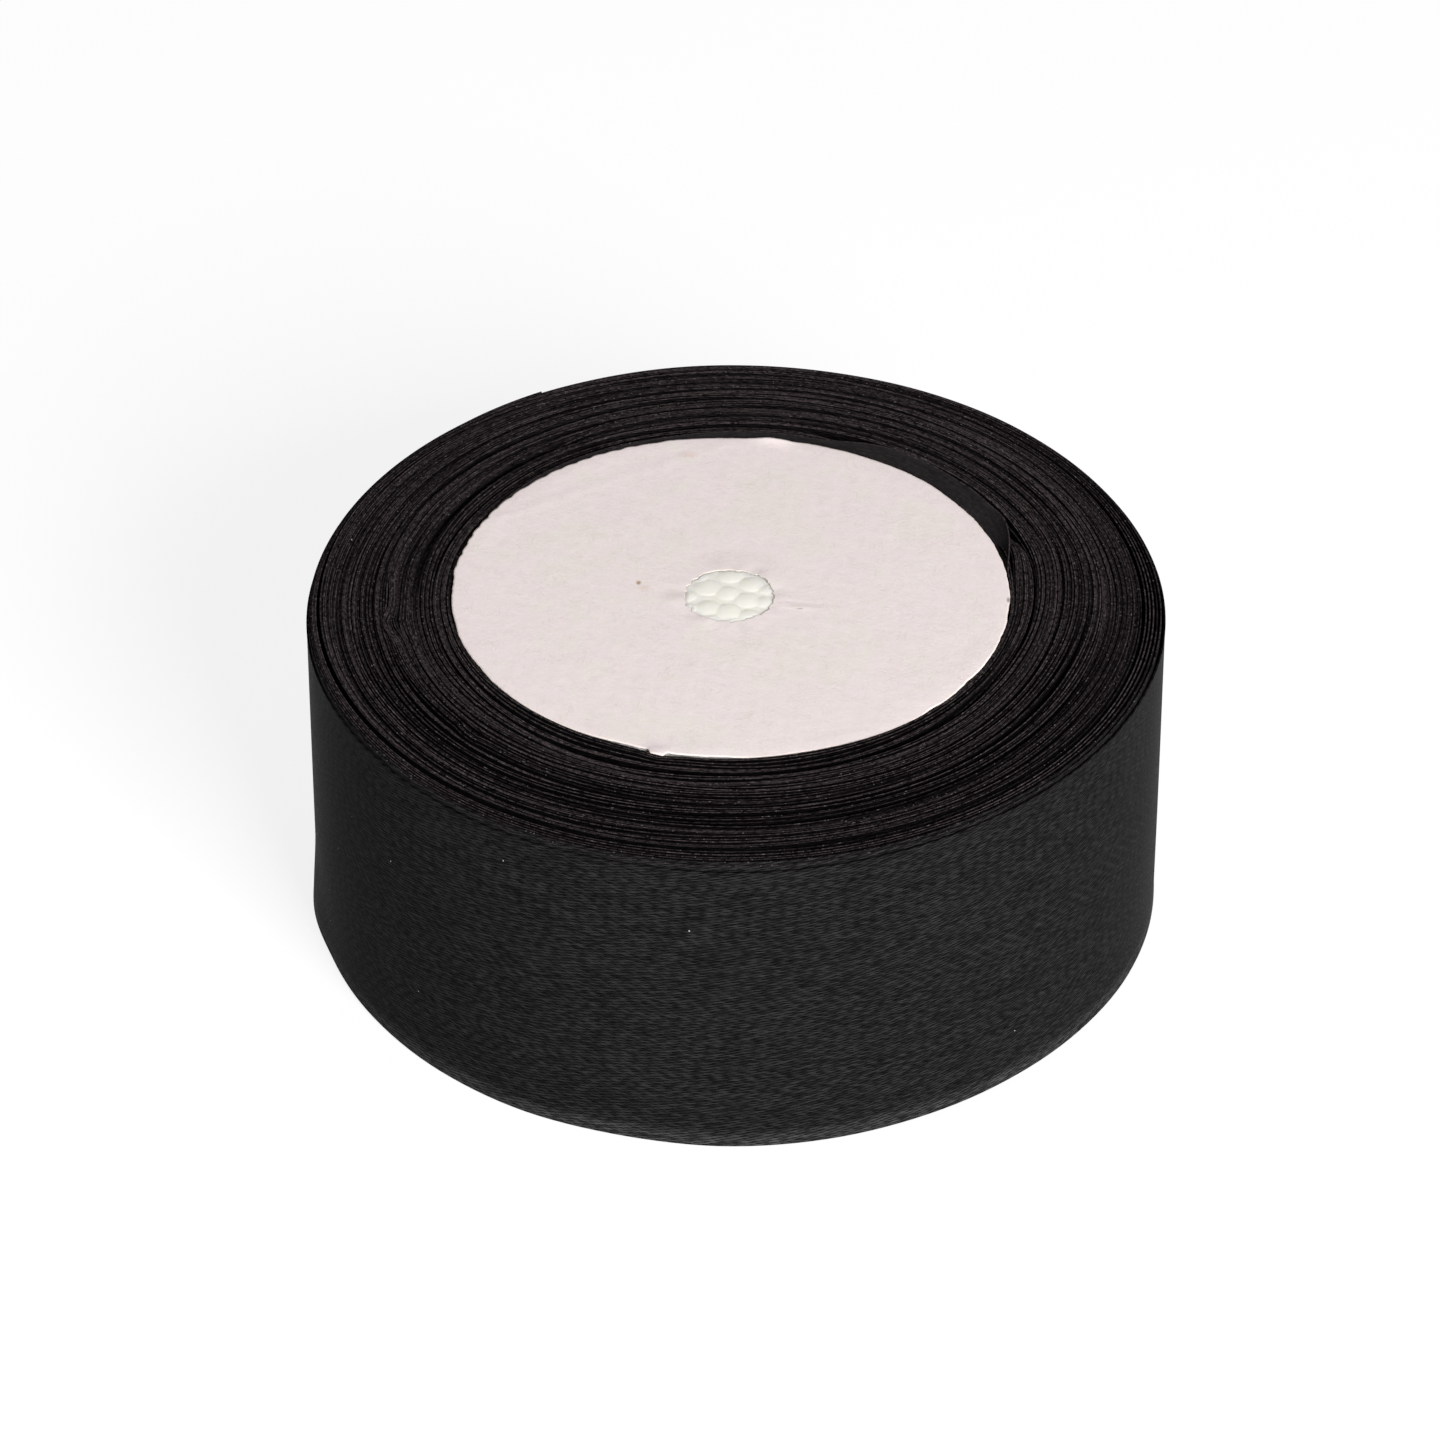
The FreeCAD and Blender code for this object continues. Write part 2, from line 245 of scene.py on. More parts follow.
# The last turn's top edge round the roll: it has slipped down furthest in front
RIM_DEG = [0, 20, 40, 60, 80, 100, 120, 135, 150, 170, 190, 205, 222, 240, 258, 275, 288, 302, 320, 340, 360]
RIM_Z = [38.7, 38.7, 39.15, 39.45, 39.5, 39.65, 39.25, 38.85, 38.35, 38.15, 38.2, 38.3, 38.1, 38.02, 38.0, 38.0, 38.3, 38.75, 39.0, 38.9, 38.7]


def rim_height(deg):
    """A smooth closed curve through the heights above."""
    x = np.array(RIM_DEG[:-1], float)
    y = np.array(RIM_Z[:-1])
    x3, y3 = np.concatenate([x - 360, x, x + 360]), np.tile(y, 3)
    q = np.mod(deg, 360.0)
    total = 0.0
    for shift, weight in ((-8.0, 0.2), (-4.0, 0.2), (0.0, 0.2), (4.0, 0.2), (8.0, 0.2)):
        total = total + weight * np.interp(q + shift, x3, y3)
    return np.maximum(total, WIDE)


# How far the inner half of the winding stands off from a circle, by angle and by turn
SWAY_DEG = [-70, -60, -45, -30, -20, -10, -4, 4, 12, 20, 40, 60, 75, 90, 120, 150, 180]
SWAY = [0, 0, -0.08, -0.22, -0.20, -0.02, 0.15, 0.45, 0.95, 1.05, 1.05, 1.0, 0.85, 0.65, 0.3, 0, 0]
SWAY_N, SWAY_SIZE = [0, 2, 12.5, 24, 36, 47, 64], [0, 0.1, 1.0, 1.12, 1.0, 0.62, 0]
DENT_N, DENT_SIZE = [0, 12, 24, 32, 45, 54, 64, 75, 84], [0, 0.32, 0.12, 0.20, 0.40, 0.50, 0.35, 0.20, 0]


def sway(deg, n):
    w = wrapdeg(deg)
    around = 0.0
    for shift in (-4.0, -2.0, 0.0, 2.0, 4.0):
        around = around + 0.2 * np.interp(w + shift, SWAY_DEG, SWAY)
    dent = -bump(w, -28, 34)
    return around * np.interp(n, SWAY_N, SWAY_SIZE) + dent * np.interp(n, DENT_N, DENT_SIZE)


def centre_radius(theta, n):
    deg = np.degrees(theta)
    bore = ring(theta, CORE_X, 31.47 + THICK / 2) + 0.12 * plateau(deg, 198, 238, 6)
    g_in = ring(theta, -0.8, 46.10)
    g_out = ring(theta, -0.8, 46.66)
    rim = RIM_LINE
    pack = bore + (g_in - bore) * np.clip(n / N_PACK, 0, 1)
    gap = 0.20 * smooth((n - 12.6) / 0.3) * (1 - smooth((n - 13) / 22)) * (1 - 0.8 * plateau(deg, 178, 226, 16))
    gap += 0.10 * smooth((n - 59.0) / 0.4) * (1 - smooth((n - 59.5) / 14))
    spread = smooth((n - 40) / 16) * (1 - smooth((n - 74) / 10))
    fan = spread * (0.42 * bump(wrapdeg(deg - 228), 0, 44) - 0.36 * bump(wrapdeg(deg - 162), 0, 40))
    pushed = 0.50 * crease(deg, 254.6, 5.0) * (1 - smooth(n / 13.0))
    # the turns behind the bent edge are pushed outwards
    pushed = pushed + 1.10 * window(deg, 2, 18, 60, 40) * smooth((n - 0.9) / 0.8) * (1 - smooth((n - 1.5) / 11.5))
    moved = gap + sway(deg, n) + fan + pushed + kink(deg, n)
    pack = pack + np.where(n < N_PACK, moved, 0)
    cross = g_in + (g_out - g_in) * smooth(n - N_PACK)
    outer = g_out + (rim - g_out) * np.clip((n - N_PACK - 1) / (N_OUT - 1), 0, 1)
    r = np.where(n <= N_PACK, pack, np.where(n <= N_PACK + 1, cross, outer))
    # small lasting unevenness of the winding, the same for neighbouring turns
    soft = 0.05 * np.sin(3 * theta + n * 0.11) + 0.03 * np.sin(7 * theta - n * 0.23)
    inside = smooth(n / 6) * (1 - smooth((n - 76) / 7))
    return r + soft * inside


def crescent(deg, n):
    """The turns behind the first one have sunk at the back right, under its bent edge."""
    lowered = smooth((n - 0.9) / 0.3) * (1 - smooth((n - 12.6) / 0.4 + 0.5))
    return -1.5 * window(deg, 15, 10, 50, 30) * lowered


def top_height(theta, n):
    deg = np.degrees(theta)
    quiet = 1 - 0.55 * plateau(deg, 30, 150, 30)
    dz = steps(n, PACK_V, PACK_AT, PACK_W) * quiet + low_turns(deg, n)
    dz = dz + 0.10 * np.sin(2 * theta + n * 0.19) + 0.07 * np.sin(5 * theta - n * 0.31 + 1.0)
    dz = dz + 0.05 * np.sin(9 * theta + n * 1.9)
    slope = smooth((n - 52) / 34) * (0.30 + 0.42 * window(deg, 200, 30, 300, 40))
    pack = PACK_TOP - 0.05 + dz - slope + crescent(deg, n)
    # in front the first turns reach up to the paper's edge
    pack = pack + (0.56 * plateau(deg, 200, 340, 22) - 0.08) * (1 - smooth((n - 1) / 8))
    rim = rim_height(deg)
    edge = PACK_TOP - 0.10 - 0.30 - 0.42 * window(deg, 200, 30, 300, 40)
    share = steps(n, [1.0] + OUT_SHARE, [N_PACK + i for i in range(len(OUT_SHARE))], [0.22] * len(OUT_SHARE))
    wob = 0.05 * np.sin(3 * theta + 1.7 * np.floor(n + 0.5)) * (1 - smooth((n - N_ALL + 1.6) / 0.5))
    outer = rim + (edge - rim) * share + wob
    w = smooth((n - N_PACK) / 0.25 + 0.5)
    z = pack * (1 - w) + outer * w
    # the last turn stands a hair off the floor at one place, so the turn under it shows
    last = smooth((n - N_ALL + 1.1) / 0.2)
    z = z + last * 0.16 * bump(wrapdeg(deg - 254), 0, 14)
    # the strip stands on the floor at its lowest
    return np.maximum(z, WIDE)


# The angles at which the strip is cut into segments, closer together at its corners
base = np.arange(0, 360, 2.4)
extra = np.concatenate(
    [np.arange(12.4, 19.5, 0.9), [164, 165, 185, 186, 187, 215, 216, 217], np.arange(250, 252, 1.0)]
)
GRID = np.unique(np.round(np.concatenate([base, extra]), 3))


def thetas(n0, n1, grid):
    """Unwrapped angles in degrees from turn n0 to n1, clockwise as the turns go outwards."""
    a0, a1 = END_DEG + (N_ALL - n0) * 360.0, END_DEG + (N_ALL - n1) * 360.0
    m = np.arange(math.floor(a1 / 360) - 1, math.ceil(a0 / 360) + 1)
    allof = (grid[None, :] + 360.0 * m[:, None]).ravel()
    inside = allof[(allof < a0 - 0.3) & (allof > a1 + 0.3)]
    return np.sort(np.concatenate([[a0, a1], inside]))[::-1]


def strip_lines(deg_all):
    """Centre line points, heights, outward directions and length along the strip."""
    n = N_ALL - (deg_all - END_DEG) / 360.0
    th = np.radians(deg_all)
    r = centre_radius(th, n)
    top = top_height(th, n)
    x, y = r * np.cos(th), r * np.sin(th)
    tx, ty = np.gradient(x), np.gradient(y)
    size = np.hypot(tx, ty)
    nx, ny = ty / size, -tx / size
    flip = np.sign(nx * np.cos(th) + ny * np.sin(th))
    nx, ny = nx * flip, ny * flip
    return n, th, x, y, top, nx, ny


ARC_PER_TURN = 2 * math.pi * 40.0


def arc_at(n):
    """Length along the strip in mm, from the inner end, for a winding from 31.7 to 48.4 mm."""
    a, b = 31.74, (RIM_LINE - 31.74) / N_ALL
    return 2 * math.pi * (a * n + 0.5 * b * n * n)


def mesh_object(name, verts, faces, attrs=None, sharp=None, flat=False):
    me = bpy.data.meshes.new(name)
    verts = np.asarray(verts, np.float32)
    if isinstance(faces, np.ndarray):
        count, per = faces.shape
        me.vertices.add(len(verts))
        me.vertices.foreach_set("co", (verts * MM).ravel())
        me.loops.add(count * per)
        me.loops.foreach_set("vertex_index", faces.astype(np.int32).ravel())
        me.polygons.add(count)
        me.polygons.foreach_set("loop_start", np.arange(0, count * per, per, dtype=np.int32))
        me.polygons.foreach_set("loop_total", np.full(count, per, np.int32))
    else:
        me.from_pydata([tuple(float(c) * MM for c in v) for v in verts], [], faces)
    me.update(calc_edges=True)
    me.validate()
    me.polygons.foreach_set("use_smooth", np.full(len(me.polygons), not flat))
    for key, value in (attrs or {}).items():
        if value.ndim == 2:
            a = me.attributes.new(key, "FLOAT_VECTOR", "POINT")
            a.data.foreach_set("vector", value.astype(np.float32).ravel())
        else:
            a = me.attributes.new(key, "FLOAT", "POINT")
            a.data.foreach_set("value", value.astype(np.float32))
    if sharp is not None:
        ends = np.zeros(len(me.edges) * 2, np.int32)
        me.edges.foreach_get("vertices", ends)
        marks = sharp(ends.reshape(-1, 2))
        a = me.attributes.get("sharp_edge") or me.attributes.new("sharp_edge", "BOOLEAN", "EDGE")
        a.data.foreach_set("value", marks)
    me.update()
    ob = bpy.data.objects.new(name, me)
    scene.collection.objects.link(ob)
    return ob


def bare_painted_light(deg, n):
    """Where the dull inner side of the first turn shows, with painted light and shade: lightest at the right, darker
    towards the back and the left.
    """
    painted_lightness = np.interp(wrapdeg(deg), [-10, 20, 45, 60, 90, 120, 180], [1.0, 1.0, 0.63, 0.54, 0.58, 0.47, 0.47])
    return np.where(n < 1.1, painted_lightness, 0.0)


def strip_mesh(name, deg_all, profile, offset=None):
    """A closed strip along the winding. profile rows are (out, up from the bottom, is_shoulder), going round the section."""
    n, th, x, y, top, nx, ny = strip_lines(deg_all)
    count, k = len(n), len(profile)
    out = np.array([p[0] for p in profile])
    up = np.array([p[1] for p in profile])
    shoulder = np.array([p[2] for p in profile], bool)
    o = np.broadcast_to(out, (count, k)).copy()
    u = np.broadcast_to(up, (count, k)).copy()
    zb = top - WIDE
    if offset is not None:
        do, du = offset(np.degrees(th)[:, None], n[:, None], u)
        o, u = o + do, u + du
    vx = x[:, None] + nx[:, None] * o
    vy = y[:, None] + ny[:, None] * o
    vz = zb[:, None] + u
    verts = np.stack([vx, vy, vz], -1).reshape(-1, 3)
    i = np.arange(count - 1)[:, None]
    j = np.arange(k)[None, :]
    j2 = (j + 1) % k
    a, b = i * k + j, i * k + j2
    c, d = (i + 1) * k + j2, (i + 1) * k + j
    faces = np.stack([a, b, c, d], -1).reshape(-1, 4)
    arc = arc_at(n)
    attr = np.stack(
        [
            np.broadcast_to(arc[:, None], (count, k)),
            np.broadcast_to(up, (count, k)),
            np.broadcast_to(n[:, None], (count, k)),
        ],
        -1,
    ).reshape(-1, 3)

    def sharp(ends):
        same = (ends[:, 0] % k) == (ends[:, 1] % k)
        return same & shoulder[ends[:, 0] % k]

    side = np.broadcast_to((out / H)[None, :], (count, k)).ravel()
    # the first turn's inner side, with its painted light and shade by angle
    shown = np.broadcast_to(bare_painted_light(np.degrees(th), n)[:, None], (count, k)).ravel()
    ob = mesh_object(name, verts, faces, {"strip": attr, "side": side, "bare_painted_light": shown}, sharp)
    # close both cut ends
    import bmesh

    bm = bmesh.new()
    bm.from_mesh(ob.data)
    bm.verts.ensure_lookup_table()
    for row in (0, count - 1):
        ring_verts = [bm.verts[row * k + q] for q in range(k)]
        f = bm.faces.new(ring_verts if row else ring_verts[::-1])
        f.smooth = False
    bmesh.ops.recalc_face_normals(bm, faces=bm.faces)
    bm.to_mesh(ob.data)
    bm.free()
    ob.data.update()
    length = float(np.hypot(np.diff(x), np.diff(y)).sum())
    return ob, length


H = THICK / 2
EASE = 0.042
LIGHT_PROFILE = [
    (-H, WIDE - EASE, True),
    (0.0, WIDE, False),
    (H, WIDE - EASE, True),
    (H, EASE, True),
    (0.0, 0.0, False),
    (-H, EASE, True),
]


def full_profile(rows):
    outside = [(H, WIDE - EASE, True)] + [(H, z, False) for z in rows[::-1]] + [(H, EASE, True)]
    inside = [(-H, EASE, True)] + [(-H, z, False) for z in rows] + [(-H, WIDE - EASE, True)]
    return outside + [(0.0, 0.0, False)] + inside + [(0.0, WIDE, False)]


def split_at(deg):
    """The turn count in the last turn at that angle."""
    return N_ALL - (deg - END_DEG) / 360.0


SEAM_DEG = 168.0
n_seam = split_at(SEAM_DEG)
fine = np.arange(0, 360, 1.0)
finer = np.arange(0, 360, 0.5)



def first_offset(deg, n, up):
    """The first turn stands up out of the winding at the back, and at the back right it's bent outwards."""
    live = 1 - smooth((n - 1.0) / 0.10)
    bent = window(deg, 7, 26, 45, 27) ** 0.85 * live
    raised = (0.95 * window(deg, 8, 16, 132, 30) + 0.85 * window(deg, 8, 20, 44, 34)) * live
    s = np.clip(up - 34.5, 0, None)
    arm = s * s / (s + 0.5)
    angle = np.radians(63.0) * bent
    ripple = 0.05 * np.sin(np.radians(deg) * 31) * bent * arm / 3.0
    return np.sin(angle) * arm * 1.12 + ripple, (np.cos(angle) - 1) * arm + raised * smooth(up / 20.0)


N_FIRST = 1.12
first, first_len = strip_mesh(
    "first_turn", thetas(0.0, N_FIRST, fine), full_profile([1.0, 10.0, 20.0, 30.0, 34.4, 34.8, 35.2, 35.6, 36.0, 36.5, 37.0, 37.5]), first_offset
)
wound, wound_len = strip_mesh("wound_ribbon", thetas(N_FIRST, N_PACK + 0.0, GRID), LIGHT_PROFILE)
wound_len += first_len
with bpy.context.temp_override(active_object=wound, object=wound, selected_objects=[wound, first], selected_editable_objects=[wound, first]):
    bpy.ops.object.join()
slipped, slipped_len = strip_mesh(
    "slipped_ribbon",
    thetas(N_PACK + 0.0, N_ALL - 1.0, fine),
    full_profile([1.0, 6.0, 19.0, 32.0, 37.2]),
)


def outer_offset(deg, n, up):
    """Gentle unevenness of the last turn, which only stands proud of the turn below it."""
    th = np.radians(deg)
    low = 1 - smooth(up / 9.0)
    flare = 0.50 * bump(wrapdeg(deg - 186), 0, 13) * low
    flare = flare + 0.10 * bump(wrapdeg(deg - 330), 0, 34) * bump(up, 13, 15)
    flare = flare + 0.06 * bump(wrapdeg(deg - 300), 0, 22) * bump(up, 26, 14)
    flare = flare + 0.05 * bump(wrapdeg(deg - 228), 0, 20) * bump(up, 20, 18)
    flare = flare + 0.012 * (1 + np.sin(11 * th + up * 0.10)) + 0.008 * (1 + np.sin(23 * th - up * 0.17))
    edge = 0.05 * bump(up, 0, 1.6) + 0.03 * bump(up, WIDE, 1.2)
    near_end = smooth((deg - SEAM_DEG) / 6.0)
    start = smooth((END_DEG + 360 - deg) / 12.0)
    return (flare + edge) * near_end * start, 0.0 * up


rows = [0.5, 1.2, 2.2, 3.4, 4.8, 6.4, 8.0, 10, 12, 14, 16, 18, 20, 22, 24, 26, 28, 30, 32, 34, 35.6, 36.8, 37.5]
outer, outer_len = strip_mesh(
    "outer_ribbon", thetas(N_ALL - 1.0, n_seam, fine), full_profile(rows), outer_offset
)


def tail_offset(deg, n, up):
    lift = 0.06 + 0.26 * smooth((HINGE_DEG - deg) / 30.0) ** 1.0
    lift = lift * smooth((SEAM_DEG - deg) / 16.0)
    curl = 0.05 * bump(up, 0, 3.0) + 0.04 * bump(up, WIDE, 3.0)
    return lift + curl * smooth((SEAM_DEG - deg) / 20.0), 0.0 * up


tail, tail_len = strip_mesh("ribbon_end", thetas(n_seam, N_ALL, finer), full_profile(rows), tail_offset)

# ---------------------------------------------------------------------------------------------
# The foam core: beads pressed together, which show in the torn opening
# ---------------------------------------------------------------------------------------------

# centres and radii of the beads that show, from the opening's middle
SEEDS = [
    (-2.35, 1.54, 1.60), (0.13, 3.90, 1.45), (2.58, 2.20, 1.42), (-0.21, 0.41, 1.36), (2.03, -0.90, 1.45),
    (-2.40, -2.36, 1.38), (-0.10, -3.09, 1.48), (3.95, -1.25, 1.05), (-3.30, 3.60, 1.0), (4.25, 1.10, 0.95),
    (2.20, -3.95, 1.25), (0.55, -5.40, 1.1), (-4.65, -0.10, 1.0), (-1.95, -4.75, 1.0), (-1.6, 5.3, 1.0), (-4.2, -2.3, 0.8),
]


def bead_seeds(seed, half_x, half_y, keep=()):
    """Bead centres, loosely in rows, with the ones that show listed."""
    r = np.random.default_rng(seed)
    gx, gy = np.arange(-half_x, half_x, 2.65), np.arange(-half_y, half_y, 2.3)
    x, y = np.meshgrid(gx, gy)
    x = x + 1.3 * (np.arange(len(gy))[:, None] % 2) + r.uniform(-0.5, 0.5, x.shape)
    y = y + r.uniform(-0.45, 0.45, y.shape)
    pts = np.stack([x.ravel(), y.ravel()], -1)
    if len(keep):
        keep = np.array(keep)
        far = np.sqrt(((pts[:, None, :] - keep[None]) ** 2).sum(-1)).min(1) > 2.1
        pts = np.concatenate([keep, pts[far]])
    return pts


def beads(x, y, seeds, full=1.9):
    """0 in the creases between beads, near 1 on their crowns."""
    tree = KDTree(len(seeds))
    for i, p in enumerate(seeds):
        tree.insert((p[0], p[1], 0.0), i)
    tree.balance()
    flat = np.stack([np.ravel(x), np.ravel(y)], -1)
    gap = np.empty(len(flat))
    for i, (px, py) in enumerate(flat.tolist()):
        near = tree.find_n((px, py, 0.0), 2)
        gap[i] = near[1][2] - near[0][2]
    edge = np.clip(gap / full, 0, 1)
    return np.sqrt(np.clip(1 - (1 - edge) ** 2, 0, 1)).reshape(np.shape(x))


def disc_edge(deg):
    r = CARD_R + 0.02 - 0.10 * np.sin(np.radians(deg))
    r = r + 0.30 * bump(wrapdeg(deg - 137), 0, 44) + 0.22 * bump(wrapdeg(deg - 303), 0, 16)
    r = r + 0.14 * bump(wrapdeg(deg - 47), 0, 14) - 0.28 * bump(wrapdeg(deg - 84), 0, 19)
    r = r - 0.40 * bump(wrapdeg(deg - 247), 0, 13) + 0.10 * bump(wrapdeg(deg - 184), 0, 8)
    r = r - 0.32 * bump(wrapdeg(deg - 266), 0, 14) - 0.18 * bump(wrapdeg(deg - 285), 0, 12)
    r = r - 0.20 * bump(wrapdeg(deg - 315), 0, 4) - 0.20 * bump(wrapdeg(deg - 327), 0, 5)
    r = r + 0.14 * bump(wrapdeg(deg - 197), 0, 8) + 0.14 * bump(wrapdeg(deg - 171), 0, 6)
    nub = wrapdeg(deg - 255.2)
    r = r + 0.72 * smooth((2.0 - np.abs(nub)) / 0.7)
    th = np.radians(deg)
    r = r + 0.045 * waves(th, 7, 14, 50, 31) + 0.024 * waves(th, 9, 70, 170, 32)
    scallop = window(deg, 98, 12, 168, 14)
    r = r + 0.20 * scallop * (np.abs(np.sin(th * 43 + 1.1 * np.sin(th * 9))) ** 0.7 - 0.5)
    return r


def hole_edge(deg, seed):
    th = np.radians(deg)
    r = MARK_R - 0.22 + 0.17 * waves(th, 5, 3, 9, seed) + 0.12 * waves(th, 6, 10, 26, seed + 1)
    r = r + 0.06 * waves(th, 8, 30, 80, seed + 2)
    return r


def domes(x, y):
    """Height of the round beads in the opening, 0 between them and up to 1 on a crown."""
    best = np.zeros_like(x)
    for sx, sy, sr in SEEDS:
        d2 = ((x - sx) ** 2 + (y - sy) ** 2) / sr**2
        best = np.maximum(best, np.clip(1 - d2, 0, 1) ** 0.62 * (0.70 + 0.22 * sr))
    return best


def foam_mesh():
    low_seeds = bead_seeds(4, FOAM_R + 2, FOAM_R + 2)
    top_seeds = bead_seeds(3, FOAM_R + 2, FOAM_R + 2)
    seg = 180
    a = np.linspace(0, 2 * np.pi, seg, endpoint=False)
    outer_r = np.concatenate([np.arange(7.2, FOAM_R - 1.2, 1.35), [FOAM_R - 0.75]])

    def cap(seeds, up, z_flat, hole, floor_z):
        out = []
        reach = hole(np.degrees(a))
        for s in np.linspace(0.03, 1.0, 40):
            r = s * (reach - 0.05)
            x, y = r * np.cos(a), r * np.sin(a)
            sag = 0.10 * (s**2)
            z = z_flat + up * (floor_z - sag + 0.13 * domes(x, y) * (1 - smooth((s - 0.93) / 0.07)))
            out.append(np.stack([x + MARK_X, y + MARK_Y, z], -1))
        for extra, z_in in ((0.10, 0.02), (0.45, -0.10)):
            x, y = (reach + extra) * np.cos(a), (reach + extra) * np.sin(a)
            out.append(np.stack([x + MARK_X, y + MARK_Y, np.full(seg, z_flat + up * z_in)], -1))
        # the rings start round the opening and end round the core
        share = smooth((outer_r - 6.0) / (FOAM_R - 7.0))[:, None]
        all_x = outer_r[:, None] * np.cos(a) + MARK_X * (1 - share) + CORE_X * share
        all_y = outer_r[:, None] * np.sin(a) + MARK_Y * (1 - share)
        crowns = beads(all_x, all_y, seeds)
        for x, y, p in zip(all_x, all_y, crowns):
            out.append(np.stack([x, y, z_flat + up * (-0.10 - 0.28 * (1 - p))], -1))
        return out

    top = cap(top_seeds, 1.0, CARD_BOTTOM, lambda d: hole_edge(d, 51), 0.33)
    low = cap(low_seeds, -1.0, LOW_TOP, lambda d: hole_edge(d, 71), 0.26)
    # the side, with the beads' backs pressed in where they meet
    side = []
    side_seeds = bead_seeds(5, 102, 22)
    zs = np.linspace(CARD_BOTTOM - 0.35, LOW_TOP + 0.35, 26)
    s = (a / (2 * np.pi) - 0.5) * 2 * np.pi * FOAM_R
    crowns = beads(np.tile(s, (26, 1)), np.tile((zs - 21.5)[:, None], (1, seg)), side_seeds)
    for z, p in zip(zs, crowns):
        # the core's edges are rounded
        squeezed = 0.75 * np.exp(-min(z - LOW_TOP, CARD_BOTTOM - z) / 1.1)
        r = FOAM_R - 0.05 - 0.22 * (1 - p) - squeezed
        side.append(np.stack([r * np.cos(a) + CORE_X, r * np.sin(a), np.full(seg, z)], -1))
    allrings = top + side + low[::-1]
    k = len(allrings)
    verts = np.concatenate(allrings)
    i = np.arange(k - 1)[:, None]
    j = np.arange(seg)[None, :]
    j2 = (j + 1) % seg
    quads = np.stack([i * seg + j, (i + 1) * seg + j, (i + 1) * seg + j2, i * seg + j2], -1).reshape(-1, 4)
    z_top = float(top[0][:, 2].mean())
    z_low = float(low[0][:, 2].mean())
    verts = np.concatenate([verts, [[MARK_X, MARK_Y, z_top], [MARK_X, MARK_Y, z_low]]])
    c_top, c_low = len(verts) - 2, len(verts) - 1
    faces = [tuple(int(v) for v in q) for q in quads]
    last = (k - 1) * seg
    for q in range(seg):
        q2 = (q + 1) % seg
        faces.append((c_top, q, q2))
        faces.append((c_low, last + q2, last + q))
    return mesh_object("foam_beads", verts, faces)


foam = foam_mesh()

# ---------------------------------------------------------------------------------------------
# The paper discs, with their torn openings
# ---------------------------------------------------------------------------------------------


